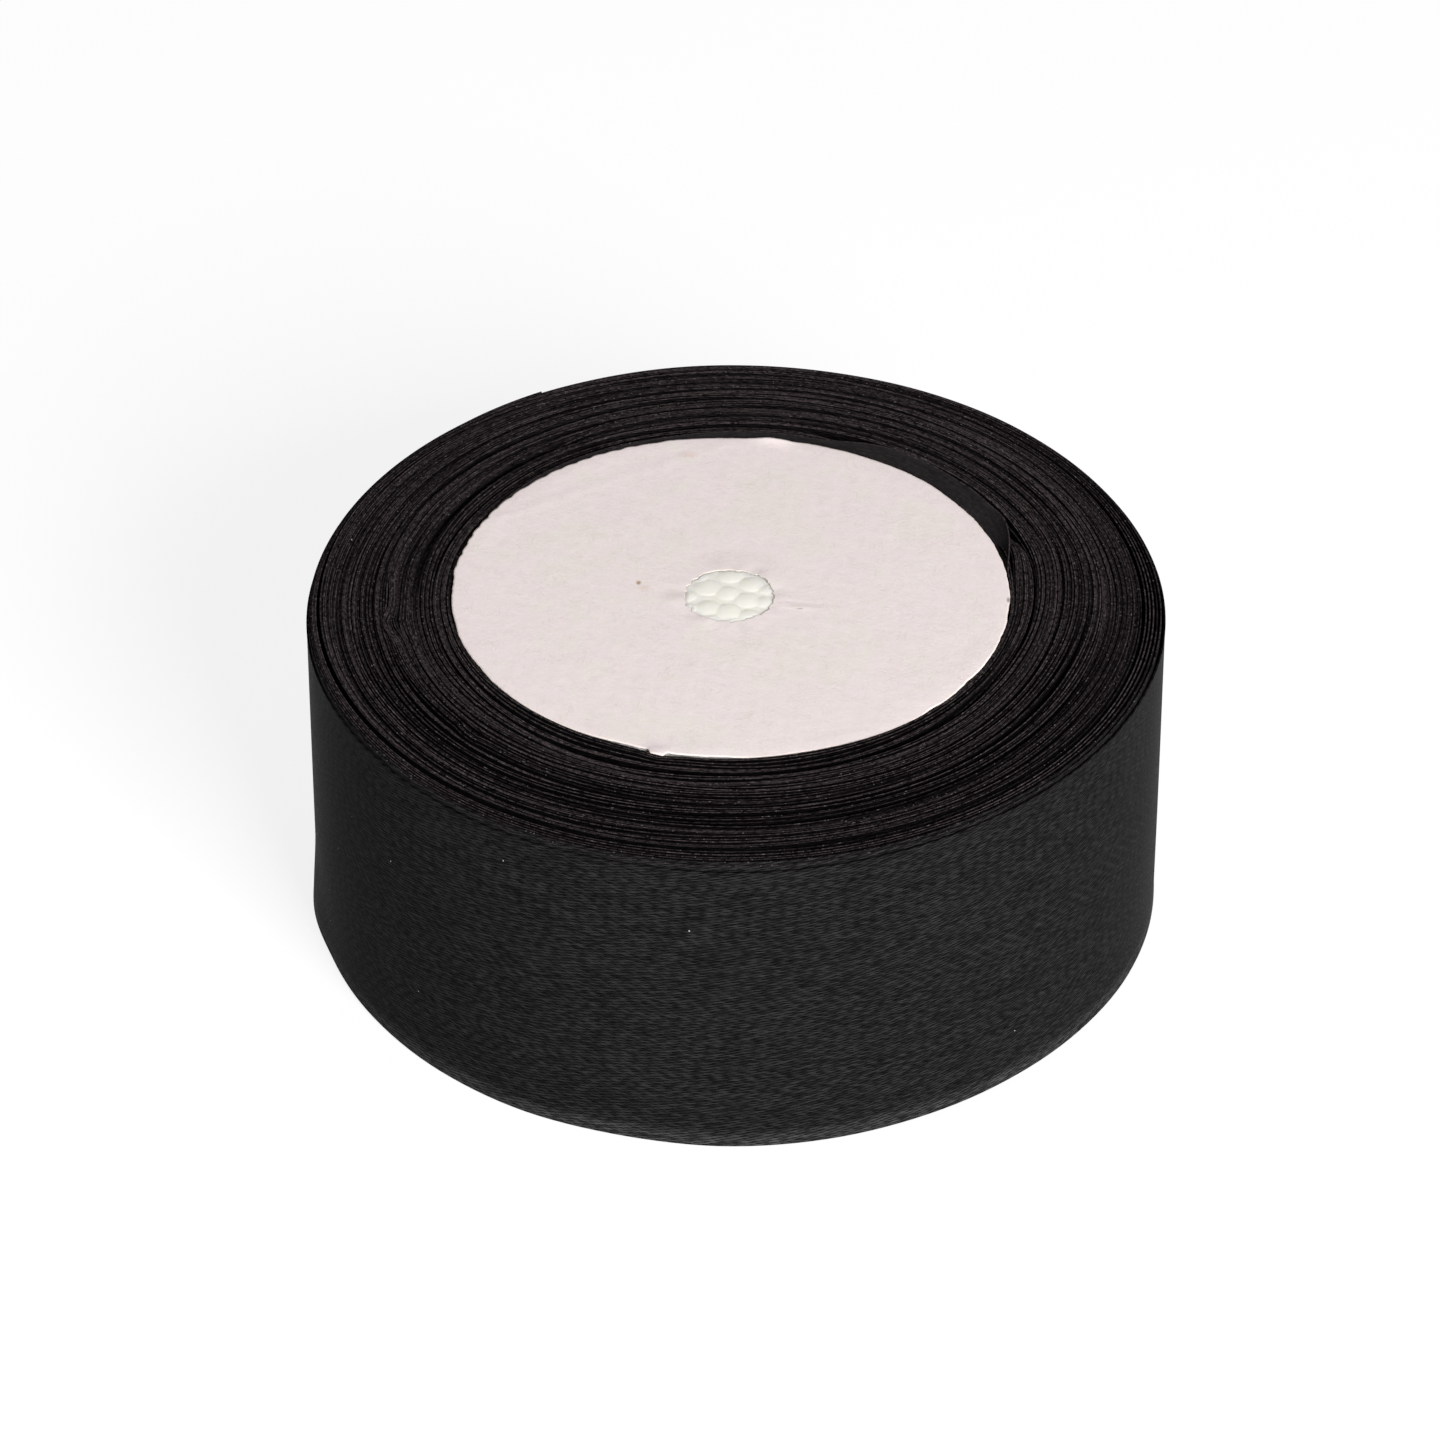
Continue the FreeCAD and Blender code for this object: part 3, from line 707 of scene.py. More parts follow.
def paper_disc(name, z_face, z_back, edge, hole, seed, marks):
    """A ring of paper. z_face is the outer side's height and z_back the glued side's."""
    up = 1.0 if z_face > z_back else -1.0
    seg = 720
    deg = np.arange(seg) * 360.0 / seg
    th = np.radians(deg)
    r0, r1 = hole(deg), edge(deg)
    share = np.concatenate([[0.0, 0.003, 0.009], np.linspace(0.02, 0.16, 12), np.linspace(0.19, 0.95, 40), [0.98, 0.992, 1.0]])
    x = np.zeros((len(share), seg))
    y, z = x.copy(), x.copy()
    for i, s in enumerate(share):
        r = r0 + (r1 - r0) * s
        t = s
        x[i] = MARK_X * (1 - t) + CORE_X * t + r * np.cos(th)
        y[i] = MARK_Y * (1 - t) + r * np.sin(th)
        z[i] = 0
    rr = np.hypot(x - CORE_X, y)
    d = np.hypot(x - MARK_X, y - MARK_Y)
    # slack, glue lumps and the swelling round the opening
    z += 0.012 * np.sin(x * 0.55 + 1.2 * np.sin(y * 0.31)) * np.sin(y * 0.47 + x * 0.13)
    z += 0.007 * np.sin(x * 1.7 + y * 0.9) * np.sin(y * 1.3 - x * 0.8 + 0.7)
    torn = np.exp(-((d - MARK_R) / 1.6).clip(0) ** 2)
    z += torn * (0.03 + 0.06 * waves(th, 5, 4, 13, seed + 7)[None, :])
    if marks:
        # a fold that runs from the opening to the right, and slack at the left edge
        fx, fy = x - MARK_X, y - MARK_Y
        along = smooth((fx - 4.9) / 1.6) * (1 - smooth((fx - 8.5) / 3.5))
        z += 0.045 * along * np.exp(-(((fy + 2.0 + 0.15 * (fx - 6)) / 0.55) ** 2))
        z -= 0.025 * along * np.exp(-(((fy + 1.1 + 0.15 * (fx - 6)) / 0.45) ** 2))
        z += 0.03 * np.exp(-(((fx * 0.5 - fy * 0.86 + 26.4) / 0.7) ** 2)) * smooth((rr - 22) / 6)
        z += 0.06 * smooth((rr - (CARD_R - 3.0)) / 3.0) * (0.4 + 0.6 * waves(th, 5, 3, 12, seed + 8)[None, :])
        z += 0.34 * smooth((rr - (CARD_R - 1.6)) / 1.6) * bump(wrapdeg(deg - 81), 0, 7)[None, :]
        z += 0.22 * smooth((rr - (CARD_R - 1.2)) / 1.4) * bump(wrapdeg(deg - 255.2), 0, 4)[None, :]
    z = z - 0.05 * smooth((share[:, None] - 0.955) / 0.045)
    z = np.clip(z, -0.12, 0.55)
    thick = 0.20
    face = z_face + up * (z - 0.08)
    back = face - up * thick
    rows_n = len(share)
    outer_v = np.stack([x, y, face], -1).reshape(-1, 3)
    inner_v = np.stack([x, y, back], -1).reshape(-1, 3)
    # rounded, slightly ragged cut edges
    mid_out = np.stack([x[-1] + 0.03 * np.cos(th), y[-1] + 0.03 * np.sin(th), (face[-1] + back[-1]) / 2], -1)
    mid_in = np.stack([x[0] - 0.05 * np.cos(th), y[0] - 0.05 * np.sin(th), (face[0] + back[0]) / 2], -1)
    verts = np.concatenate([outer_v, inner_v, mid_out, mid_in])
    o, n_ = 0, rows_n * seg
    mo, mi = 2 * n_, 2 * n_ + seg
    i = np.arange(rows_n - 1)[:, None]
    j = np.arange(seg)[None, :]
    j2 = (j + 1) % seg
    quads = [np.stack([i * seg + j, (i + 1) * seg + j, (i + 1) * seg + j2, i * seg + j2], -1).reshape(-1, 4)]
    quads.append(np.stack([n_ + i * seg + j, n_ + i * seg + j2, n_ + (i + 1) * seg + j2, n_ + (i + 1) * seg + j], -1).reshape(-1, 4))
    j, j2 = j[0], j2[0]
    last = (rows_n - 1) * seg
    quads.append(np.stack([last + j, mo + j, mo + j2, last + j2], -1))
    quads.append(np.stack([mo + j, n_ + last + j, n_ + last + j2, mo + j2], -1))
    quads.append(np.stack([n_ + j, mi + j, mi + j2, n_ + j2], -1))
    quads.append(np.stack([mi + j, j, j2, mi + j2], -1))
    quads = np.concatenate(quads)
    if up < 0:
        quads = quads[:, ::-1]
    edge_v = np.concatenate([np.tile(share[:, None], (1, seg)).ravel()] * 2 + [np.ones(seg), np.zeros(seg)])
    return mesh_object(name, verts, quads, {"share": edge_v})


upper = paper_disc("upper_paper", CARD_TOP, CARD_BOTTOM, disc_edge, lambda d: hole_edge(d, 51), 51, True)
lower = paper_disc("lower_paper", LOW_BOTTOM, LOW_TOP, lambda d: disc_edge(-d + 40) - 0.25, lambda d: hole_edge(d, 71), 71, False)

# ---------------------------------------------------------------------------------------------
# The clear tape over the free end
# ---------------------------------------------------------------------------------------------


def tape_mesh():
    z0, z1 = float(TAPE_LO[2]), float(TAPE_HI[2])
    cols = np.linspace(130.0, 106.0, 97)
    ups = np.linspace(0, 1, 25)
    n_tail = N_ALL - (np.clip(cols, END_DEG, None) - END_DEG) / 360.0
    r_tail = centre_radius(np.radians(cols), n_tail) + H
    lift = 0.06 + 0.26 * smooth((HINGE_DEG - cols) / 30.0)
    n_wrap = N_ALL - 1 - (cols - END_DEG) / 360.0
    r_wrap = centre_radius(np.radians(cols), np.clip(n_wrap, None, N_ALL)) + H
    on_tail = smooth((cols - (END_DEG - 2.6)) / 2.6)
    r = (r_tail + lift + 0.05) * on_tail + (r_wrap + 0.10) * (1 - on_tail)
    verts, uv = [], []
    zig = lambda t: 0.16 * (np.abs((t * 14) % 1 - 0.5) * 2 - 0.5)
    for i, (c, rc) in enumerate(zip(cols, r)):
        for v in ups:
            cc = c
            if i == 0:
                cc = c + zig(v) * 1.0
            if i == len(cols) - 1:
                cc = c - zig(v + 0.03) * 1.0
            ridge = 0.05 * bump(v, 0.62, 0.05) * bump(c, 121, 6) + 0.03 * bump(v, 0.30, 0.04) * bump(c, 112, 5)
            z = z0 + (z1 - z0) * v
            verts.append([(rc + ridge) * math.cos(math.radians(cc)), (rc + ridge) * math.sin(math.radians(cc)), z])
            uv.append([i * 0.2, v * (z1 - z0), 0])
    k = len(ups)
    i = np.arange(len(cols) - 1)[:, None]
    j = np.arange(k - 1)[None, :]
    quads = np.stack([i * k + j, (i + 1) * k + j, (i + 1) * k + j + 1, i * k + j + 1], -1).reshape(-1, 4)
    verts = np.array(verts)
    # a second skin makes it a film with thickness
    rr = np.hypot(verts[:, 0], verts[:, 1])
    back = verts.copy()
    back[:, :2] *= ((rr - 0.045) / rr)[:, None]
    m = len(verts)
    nb = quads[:, ::-1] + m
    rim = []
    c = len(cols)
    loop = [q for q in range(0, c * k, k)] + [(c - 1) * k + q for q in range(1, k)] + [q * k + k - 1 for q in range(c - 2, -1, -1)] + [q for q in range(k - 2, 0, -1)]
    for a_, b_ in zip(loop, loop[1:] + loop[:1]):
        rim.append([a_, a_ + m, b_ + m, b_])
    allq = np.concatenate([quads, nb, np.array(rim)])
    ob = mesh_object("tape_film", np.concatenate([verts, back]), allq, {"strip": np.concatenate([np.array(uv)] * 2)})
    import bmesh

    bm = bmesh.new()
    bm.from_mesh(ob.data)
    bmesh.ops.recalc_face_normals(bm, faces=bm.faces)
    bm.to_mesh(ob.data)
    bm.free()
    return ob


tape = tape_mesh()

# ---------------------------------------------------------------------------------------------
# Materials
# ---------------------------------------------------------------------------------------------


class Nodes:
    def __init__(self, name):
        self.mat = bpy.data.materials.new(name)
        self.mat.use_nodes = True
        self.nt = self.mat.node_tree
        self.nt.nodes.clear()
        self.out = self.nt.nodes.new("ShaderNodeOutputMaterial")
        self.bsdf = self.nt.nodes.new("ShaderNodeBsdfPrincipled")
        self.nt.links.new(self.bsdf.outputs[0], self.out.inputs[0])

    def put(self, socket, value):
        if isinstance(value, bpy.types.NodeSocket):
            self.nt.links.new(value, socket)
        elif value is not None:
            socket.default_value = value

    def set(self, **values):
        for key, value in values.items():
            self.put(self.bsdf.inputs[key.replace("_", " ")], value)

    def new(self, kind, **props):
        n = self.nt.nodes.new(kind)
        for key, value in props.items():
            setattr(n, key, value)
        return n

    def math(self, op, a, b=None, c=None, clamp=False):
        n = self.new("ShaderNodeMath", operation=op, use_clamp=clamp)
        for i, v in enumerate((a, b, c)):
            self.put(n.inputs[i], v)
        return n.outputs[0]

    def vec(self, x, y, z=0.0):
        n = self.new("ShaderNodeCombineXYZ")
        for i, v in enumerate((x, y, z)):
            self.put(n.inputs[i], v)
        return n.outputs[0]

    def split(self, v):
        n = self.new("ShaderNodeSeparateXYZ")
        self.put(n.inputs[0], v)
        return n.outputs

    def attr(self, name):
        n = self.new("ShaderNodeAttribute", attribute_name=name, attribute_type="GEOMETRY")
        return n

    def noise(self, vector, scale=1.0, detail=2.0, rough=0.5, dims="3D", distortion=0.0):
        n = self.new("ShaderNodeTexNoise", noise_dimensions=dims)
        self.put(n.inputs["Vector"], vector)
        n.inputs["Scale"].default_value = scale
        n.inputs["Detail"].default_value = detail
        n.inputs["Roughness"].default_value = rough
        n.inputs["Distortion"].default_value = distortion
        return n.outputs[0]

    def white(self, vector):
        n = self.new("ShaderNodeTexWhiteNoise", noise_dimensions="3D")
        self.put(n.inputs["Vector"], vector)
        return n.outputs[0]

    def ramp(self, value, a, b, lo=0.0, hi=1.0, kind="SMOOTHSTEP"):
        n = self.new("ShaderNodeMapRange", interpolation_type=kind)
        for i, v in enumerate((value, a, b, lo, hi)):
            self.put(n.inputs[i], v)
        return n.outputs[0]

    def mix(self, factor, a, b):
        n = self.new("ShaderNodeMix", data_type="RGBA")
        self.put(n.inputs[0], factor)
        self.put(n.inputs[6], a)
        self.put(n.inputs[7], b)
        return n.outputs[2]

    def bump(self, height, distance, strength=1.0, normal=None):
        n = self.new("ShaderNodeBump")
        n.inputs["Strength"].default_value = strength
        n.inputs["Distance"].default_value = distance
        self.put(n.inputs["Height"], height)
        if normal is not None:
            self.put(n.inputs["Normal"], normal)
        return n.outputs[0]


def rgba(r, g, b):
    return (r, g, b, 1.0)


def satin(name, edges):
    """Black single-face satin. edges says whether the frayed edge look shows."""
    m = Nodes(name)
    arc, up, turn = m.split(m.attr("strip").outputs["Vector"])
    # rows of floats, each row shifted along from the one below it
    row_f = m.math("MULTIPLY", up, 1 / 0.145)
    row = m.math("FLOOR", row_f)
    fv = m.math("FRACT", row_f)
    row_rand = m.white(m.vec(row, 3.0, 1.0))
    shift = m.math("ADD", m.math("MULTIPLY", row, 0.4), m.math("MULTIPLY", row_rand, 0.30))
    u = m.math("ADD", m.math("MULTIPLY", arc, 1 / 1.72), shift)
    cell = m.math("FLOOR", u)
    fu = m.math("MINIMUM", m.math("MULTIPLY", m.math("FRACT", u), 1 / 0.80), 1.0)
    across = m.math("SUBTRACT", 1.0, m.math("POWER", m.math("ABSOLUTE", m.math("SUBTRACT", m.math("MULTIPLY", fv, 2.0), 1.0)), 2.0))
    along = m.math("SUBTRACT", 1.0, m.math("POWER", m.math("ABSOLUTE", m.math("SUBTRACT", m.math("MULTIPLY", fu, 2.0), 1.0)), 2.4))
    float_h = m.math("MULTIPLY", across, along)
    rand = m.white(m.vec(cell, row, 7.0))
    dash = m.noise(m.vec(m.math("MULTIPLY", arc, 0.9), m.math("MULTIPLY", up, 2.8), 0.0), 1.0, 2.0, 0.6)
    cloud = m.noise(m.vec(m.math("MULTIPLY", arc, 0.05), m.math("MULTIPLY", up, 0.09), 4.0), 1.0, 3.0, 0.55)
    # the woven edge: short stitches across the rim of the strip
    from_top = m.math("SUBTRACT", WIDE, up)
    near_edge = m.math("MINIMUM", from_top, up)
    edge = m.ramp(near_edge, 0.10, 0.75, 1.0, 0.0)
    rim = m.ramp(near_edge, 0.040, 0.054, 1.0, 0.0) if edges else m.ramp(near_edge, 0.02, 0.16, 1.0, 0.0)
    stitch = m.noise(m.vec(m.math("MULTIPLY", arc, 2.4), m.math("MULTIPLY", up, 3.0), m.math("MULTIPLY", turn, 9.7)), 1.0, 2.0, 0.65)
    tone = m.math("MULTIPLY_ADD", float_h, 1.65, 0.42)
    tone = m.math("MULTIPLY", tone, m.math("MULTIPLY_ADD", rand, 1.0, 0.5))
    tone = m.math("MULTIPLY", tone, m.ramp(dash, 0.34, 0.66, 0.78, 1.22, "LINEAR"))
    tone = m.math("MULTIPLY", tone, m.ramp(cloud, 0.3, 0.7, 0.96, 1.05, "LINEAR"))
    side = m.attr("side").outputs["Fac"]
    inner = m.ramp(side, -0.2, -0.8)
    if edges:
        # in the winding: painted shade, near black, on the sides of the turns between the turns; the duller inner side;
        # the frayed edges
        unshaded_outer_turns = m.ramp(turn, 87.6, 88.2, 0.0, 1.0)
        wall_with_painted_shade = m.mix(unshaded_outer_turns, rgba(0.0019, 0.0016, 0.0017), rgba(0.0118, 0.0112, 0.0114))
        # the first turn's dull inner side, where it shows, with painted light and shade that change round the roll
        first_turn_painted_light = m.attr("bare_painted_light").outputs["Fac"]
        dull_painted_light = m.new("ShaderNodeVectorMath", operation="SCALE")
        dull_painted_light.inputs[0].default_value = (0.0245, 0.0215, 0.0222)
        m.put(dull_painted_light.inputs["Scale"], first_turn_painted_light)
        showing = m.math("MULTIPLY", inner, m.math("GREATER_THAN", first_turn_painted_light, 0.2))
        fuzz = m.noise(m.vec(m.math("MULTIPLY", arc, 1.8), m.math("MULTIPLY", up, 2.4), 8.0), 1.0, 3.0, 0.6)
        plain = m.math("MULTIPLY_ADD", m.math("MULTIPLY", fuzz, m.math("MULTIPLY_ADD", rand, 0.6, 0.7)), 1.3, 0.35)
        tone = m.math("MULTIPLY_ADD", showing, m.math("SUBTRACT", plain, tone), tone)
        # painted shade on the inner sides of the turns in the winding, darker than the inner side of the outer face
        wall_with_painted_shade = m.mix(inner, wall_with_painted_shade, rgba(0.0050, 0.0042, 0.0044))
        wall_with_painted_shade = m.mix(showing, wall_with_painted_shade, dull_painted_light.outputs[0])
        grey = m.mix(rim, wall_with_painted_shade, rgba(0.0222, 0.0175, 0.0182))
        # painted highlight and shade: each turn's edge, and each stretch of it, gets a lighter or darker tone for how
        # it catches the light
        turn_no = m.math("FLOOR", turn)
        painted_edge_light = m.noise(m.vec(m.math("MULTIPLY", arc, 0.012), m.math("MULTIPLY", turn_no, 3.7), 2.0), 1.0, 2.0, 0.5)
        painted_edge_light = m.ramp(painted_edge_light, 0.34, 0.66, 0.35, 1.8, "LINEAR")
        speck = m.noise(m.vec(m.math("MULTIPLY", arc, 1.5), m.math("MULTIPLY", up, 2.0), m.math("MULTIPLY", turn_no, 9.7)), 1.0, 2.0, 0.6)
        painted_edge_light = m.math("MULTIPLY", painted_edge_light, m.ramp(speck, 0.36, 0.66, 0.25, 2.0, "LINEAR"))
        # the weave's ticks line up across neighbouring turns
        co = m.new("ShaderNodeTexCoord").outputs["Object"]
        unit = m.new("ShaderNodeVectorMath", operation="MULTIPLY")
        m.put(unit.inputs[0], co)
        unit.inputs[1].default_value = (1.0, 1.0, 0.0)
        norm = m.new("ShaderNodeVectorMath", operation="NORMALIZE")
        m.put(norm.inputs[0], unit.outputs[0])
        nx_, ny_, _z = m.split(norm.outputs[0])
        hatch = m.noise(m.vec(m.math("MULTIPLY", nx_, 62.0), m.math("MULTIPLY", ny_, 62.0), m.math("MULTIPLY", turn, 0.22)), 1.0, 1.0, 0.5)
        painted_edge_light = m.math("MULTIPLY", painted_edge_light, m.ramp(hatch, 0.35, 0.65, 0.88, 1.12, "LINEAR"))
        tone = m.math("MULTIPLY_ADD", rim, m.math("SUBTRACT", painted_edge_light, tone), tone)
    else:
        # painted reflection of the floor: the lowest 1 to 2 mm of the outer face are lighter
        low = m.ramp(up, 0.9, 2.4, 1.0, 0.0)
        grey = m.mix(low, rgba(0.0099, 0.0096, 0.0097), rgba(0.0225, 0.0220, 0.0220))
        grey = m.mix(m.math("MULTIPLY", rim, m.ramp(up, 3.0, 4.0)), grey, rgba(0.0060, 0.0052, 0.0054))
        grey = m.mix(inner, grey, rgba(0.026, 0.024, 0.024))
    scale = m.new("ShaderNodeVectorMath", operation="SCALE")
    m.put(scale.inputs[0], grey)
    m.put(scale.inputs["Scale"], tone)
    body = scale.outputs[0]
    if edges:
        # painted glints: bright points where fibre ends stick out of the edge and catch the light
        ends = m.noise(m.vec(m.math("MULTIPLY", arc, 2.6), m.math("MULTIPLY", turn_no, 17.3), 1.0), 1.0, 1.0, 0.5)
        painted_glint = m.math("MULTIPLY", m.ramp(ends, 0.63, 0.74), rim)
        body = m.mix(m.math("MULTIPLY", painted_glint, 0.65), body, rgba(0.14, 0.125, 0.122))
    # lint
    v = m.new("ShaderNodeTexVoronoi", feature="F1", voronoi_dimensions="2D")
    m.put(v.inputs["Vector"], m.vec(m.math("MULTIPLY", arc, 1 / 4.3), m.math("MULTIPLY", up, 1 / 4.3), 0.0))
    v.inputs["Scale"].default_value = 1.0
    vc = m.split(v.outputs["Color"])
    keep = m.math("GREATER_THAN", vc[0], 0.995 if edges else 0.955)
    size = m.math("MULTIPLY_ADD", vc[1], 0.010, 0.009)
    lint = m.math("MULTIPLY", m.math("LESS_THAN", v.outputs["Distance"], size), keep)
    body = m.mix(m.math("MULTIPLY", lint, 0.75), body, rgba(0.55, 0.55, 0.55))
    height = m.math("MULTIPLY", float_h, m.math("MULTIPLY_ADD", rand, 0.5, 0.7))
    height = m.math("ADD", height, m.math("MULTIPLY", m.math("MULTIPLY", stitch, edge), 2.2))
    normal = m.bump(height, 0.020 * MM, 0.9)
    m.set(
        Base_Color=body,
        Roughness=m.math("ADD", m.ramp(rand, 0.0, 1.0, 0.40, 0.50, "LINEAR"), m.math("MULTIPLY", edge, 0.10)),
        Normal=normal,
    )
    b = m.bsdf.inputs
    b["Specular IOR Level"].default_value = 0.5
    b["IOR"].default_value = 1.034
    b["Anisotropic"].default_value = 0.45
    b["Anisotropic Rotation"].default_value = 0.25
    b["Sheen Weight"].default_value = 0.004
    b["Sheen Roughness"].default_value = 0.5
    return m.mat


def paper(name, face):
    m = Nodes(name)
    co = m.new("ShaderNodeTexCoord").outputs["Object"]
    s = m.new("ShaderNodeVectorMath", operation="SCALE")
    m.put(s.inputs[0], co)
    s.inputs["Scale"].default_value = 1000.0
    p = s.outputs[0]
    x, y, z = m.split(p)
    wide = m.noise(p, 0.085, 3.0, 0.55)
    cloud = m.noise(m.vec(x, m.math("MULTIPLY", y, 0.85), z), 0.26, 4.0, 0.62)
    grain = m.noise(p, 2.6, 4.0, 0.65)
    # the paper has yellowed in a few patches
    aged = None
    for px, py, rx, ry in ((5.0, 17.6, 5.5, 9.0), (-15.9, 8.6, 11.0, 6.0), (5.0, -11.1, 12.0, 7.0), (-8.0, -25.8, 8.0, 4.0), (21.3, 14.7, 4.0, 5.0)):
        dx = m.math("DIVIDE", m.math("SUBTRACT", x, MARK_X + px), rx)
        dy = m.math("DIVIDE", m.math("SUBTRACT", y, MARK_Y + py), ry)
        d = m.math("SQRT", m.math("ADD", m.math("MULTIPLY", dx, dx), m.math("MULTIPLY", dy, dy)))
        w = m.ramp(d, 0.45, 1.30, 1.0, 0.0)
        aged = w if aged is None else m.math("MAXIMUM", aged, w)
    mixed = m.math("MULTIPLY_ADD", cloud, 0.75, m.math("MULTIPLY", wide, 0.25))
    tint = m.ramp(m.math("ADD", mixed, m.math("MULTIPLY_ADD", aged, 0.11, -0.05)), 0.42, 0.62)
    pink, beige = rgba(0.806, 0.714, 0.713), rgba(0.786, 0.720, 0.684)
    base_c = m.mix(tint, pink, beige)
    base_c = m.mix(m.ramp(grain, 0.35, 0.7, 0.0, 0.17), base_c, rgba(0.60, 0.52, 0.50))
    # faint streaks of the felt side, mostly one way
    felt = m.noise(m.vec(m.math("MULTIPLY", x, 0.85), m.math("MULTIPLY", y, 0.95), 3.0), 1.0, 4.0, 0.65, distortion=0.4)
    base_c = m.mix(m.ramp(felt, 0.42, 0.72, 0.0, 0.26), base_c, rgba(0.70, 0.62, 0.56))
    base_c = m.mix(m.ramp(felt, 0.28, 0.46, 0.22, 0.0), base_c, rgba(0.82, 0.74, 0.72))
    # fibres: stretched, bent noise, thin where it crosses its middle value
    fibres = None
    for k, (ang, seed_z) in enumerate(((0.4, 2.0), (1.5, 9.0), (2.6, 17.0))):
        ca, sa = math.cos(ang), math.sin(ang)
        along = m.math("ADD", m.math("MULTIPLY", x, ca), m.math("MULTIPLY", y, sa))
        cross = m.math("SUBTRACT", m.math("MULTIPLY", y, ca), m.math("MULTIPLY", x, sa))
        f = m.noise(m.vec(m.math("MULTIPLY", along, 0.22), m.math("MULTIPLY", cross, 1.5), seed_z), 1.0, 2.0, 0.5, distortion=0.6)
        line = m.ramp(m.math("ABSOLUTE", m.math("SUBTRACT", f, 0.5)), 0.0, 0.020, 1.0, 0.0)
        gate = m.ramp(m.noise(m.vec(x, y, seed_z + 31.0), 0.35, 1.0, 0.5), 0.52, 0.66)
        line = m.math("MULTIPLY", line, gate)
        fibres = line if fibres is None else m.math("MAXIMUM", fibres, line)
    base_c = m.mix(m.math("MULTIPLY", fibres, 0.16), base_c, rgba(0.50, 0.40, 0.34))
    # flecks
    v = m.new("ShaderNodeTexVoronoi", feature="F1", voronoi_dimensions="3D")
    m.put(v.inputs["Vector"], p)
    v.inputs["Scale"].default_value = 0.42
    vc = m.split(v.outputs["Color"])
    fleck = m.math("MULTIPLY", m.math("LESS_THAN", v.outputs["Distance"], m.math("MULTIPLY_ADD", vc[1], 0.035, 0.02)), m.math("GREATER_THAN", vc[0], 0.80))
    base_c = m.mix(m.math("MULTIPLY", fleck, 0.45), base_c, rgba(0.40, 0.29, 0.20))

    def spot(cx, cy, rx, ry, color, amount, soft=1.0):
        nonlocal base_c
        dx = m.math("DIVIDE", m.math("SUBTRACT", x, cx), rx)
        dy = m.math("DIVIDE", m.math("SUBTRACT", y, cy), ry)
        d = m.math("SQRT", m.math("ADD", m.math("MULTIPLY", dx, dx), m.math("MULTIPLY", dy, dy)))
        w = m.math("MULTIPLY", m.ramp(d, 1.0 - soft * 0.9, 1.0, 1.0, 0.0), amount)
        base_c = m.mix(w, base_c, color)

    if face:
        spot(MARK_X - 10.2, MARK_Y + 2.5, 0.42, 0.60, rgba(0.30, 0.17, 0.07), 0.85)
        spot(MARK_X - 9.6, MARK_Y + 1.5, 1.0, 0.9, rgba(0.60, 0.42, 0.30), 0.30)
        spot(MARK_X - 4.6, MARK_Y + 28.2, 1.6, 1.1, rgba(0.72, 0.45, 0.42), 0.30)
        # painted shade: a darker patch on the paper just behind the opening
        spot(MARK_X + 0.6, MARK_Y + 6.6, 7.5, 3.4, rgba(0.60, 0.52, 0.45), 0.16)
        spot(MARK_X - 6.2, MARK_Y + 0.2, 2.6, 1.8, rgba(0.58, 0.45, 0.40), 0.16)
        spot(MARK_X + 7.95, MARK_Y - 2.6, 0.55, 0.20, rgba(0.30, 0.24, 0.20), 0.60)
        spot(MARK_X + 6.9, MARK_Y - 2.1, 2.6, 0.30, rgba(0.60, 0.52, 0.47), 0.30)
        spot(MARK_X + 31.4, MARK_Y - 0.9, 0.35, 0.8, rgba(0.10, 0.08, 0.08), 0.8)
    share = m.attr("share").outputs["Fac"]
    worn = m.math("MAXIMUM", m.ramp(share, 0.988, 1.0, 0.0, 1.0), m.ramp(share, 0.0, 0.006, 1.0, 0.0))
    base_c = m.mix(m.math("MULTIPLY", worn, 0.25), base_c, rgba(0.66, 0.56, 0.46))
    # the torn edge of the opening is darker
    base_c = m.mix(m.ramp(share, 0.0, 0.003, 0.85, 0.0), base_c, rgba(0.56, 0.51, 0.465))
    height = m.math("ADD", m.math("MULTIPLY", grain, 0.8), m.math("MULTIPLY", m.noise(p, 0.9, 3.0, 0.6), 1.2))
    height = m.math("ADD", height, m.math("MULTIPLY", fibres, 0.35))
    m.set(Base_Color=base_c, Roughness=m.ramp(grain, 0.3, 0.7, 0.80, 0.92, "LINEAR"), Normal=m.bump(height, 0.05 * MM, 0.5))
    m.bsdf.inputs["Specular IOR Level"].default_value = 0.25
    return m.mat


def foam_material():
    m = Nodes("expanded_foam")
    co = m.new("ShaderNodeTexCoord").outputs["Object"]
    s = m.new("ShaderNodeVectorMath", operation="SCALE")
    m.put(s.inputs[0], co)
    s.inputs["Scale"].default_value = 1000.0
    p = s.outputs[0]
    big = m.noise(p, 0.55, 2.0, 0.5)
    small = m.noise(p, 6.0, 3.0, 0.6)
    c = m.mix(m.ramp(big, 0.35, 0.65), rgba(0.825, 0.800, 0.730), rgba(0.855, 0.832, 0.762))
    c = m.mix(m.ramp(small, 0.45, 0.75, 0.0, 0.10), c, rgba(0.70, 0.68, 0.60))
    cells = m.new("ShaderNodeTexVoronoi", feature="F1", voronoi_dimensions="3D")
    m.put(cells.inputs["Vector"], p)
    cells.inputs["Scale"].default_value = 6.5
    height = m.math("ADD", m.math("MULTIPLY", cells.outputs["Distance"], 0.6), m.math("MULTIPLY", small, 0.5))
    m.set(Base_Color=c, Roughness=m.ramp(small, 0.3, 0.7, 0.42, 0.60, "LINEAR"), Normal=m.bump(height, 0.02 * MM, 0.5))
    m.bsdf.inputs["Subsurface Weight"].default_value = 0.85
    m.bsdf.inputs["Subsurface Radius"].default_value = (0.0016, 0.0016, 0.0014)
    m.bsdf.inputs["Subsurface Scale"].default_value = 1.0
    m.bsdf.inputs["Specular IOR Level"].default_value = 0.4
    return m.mat


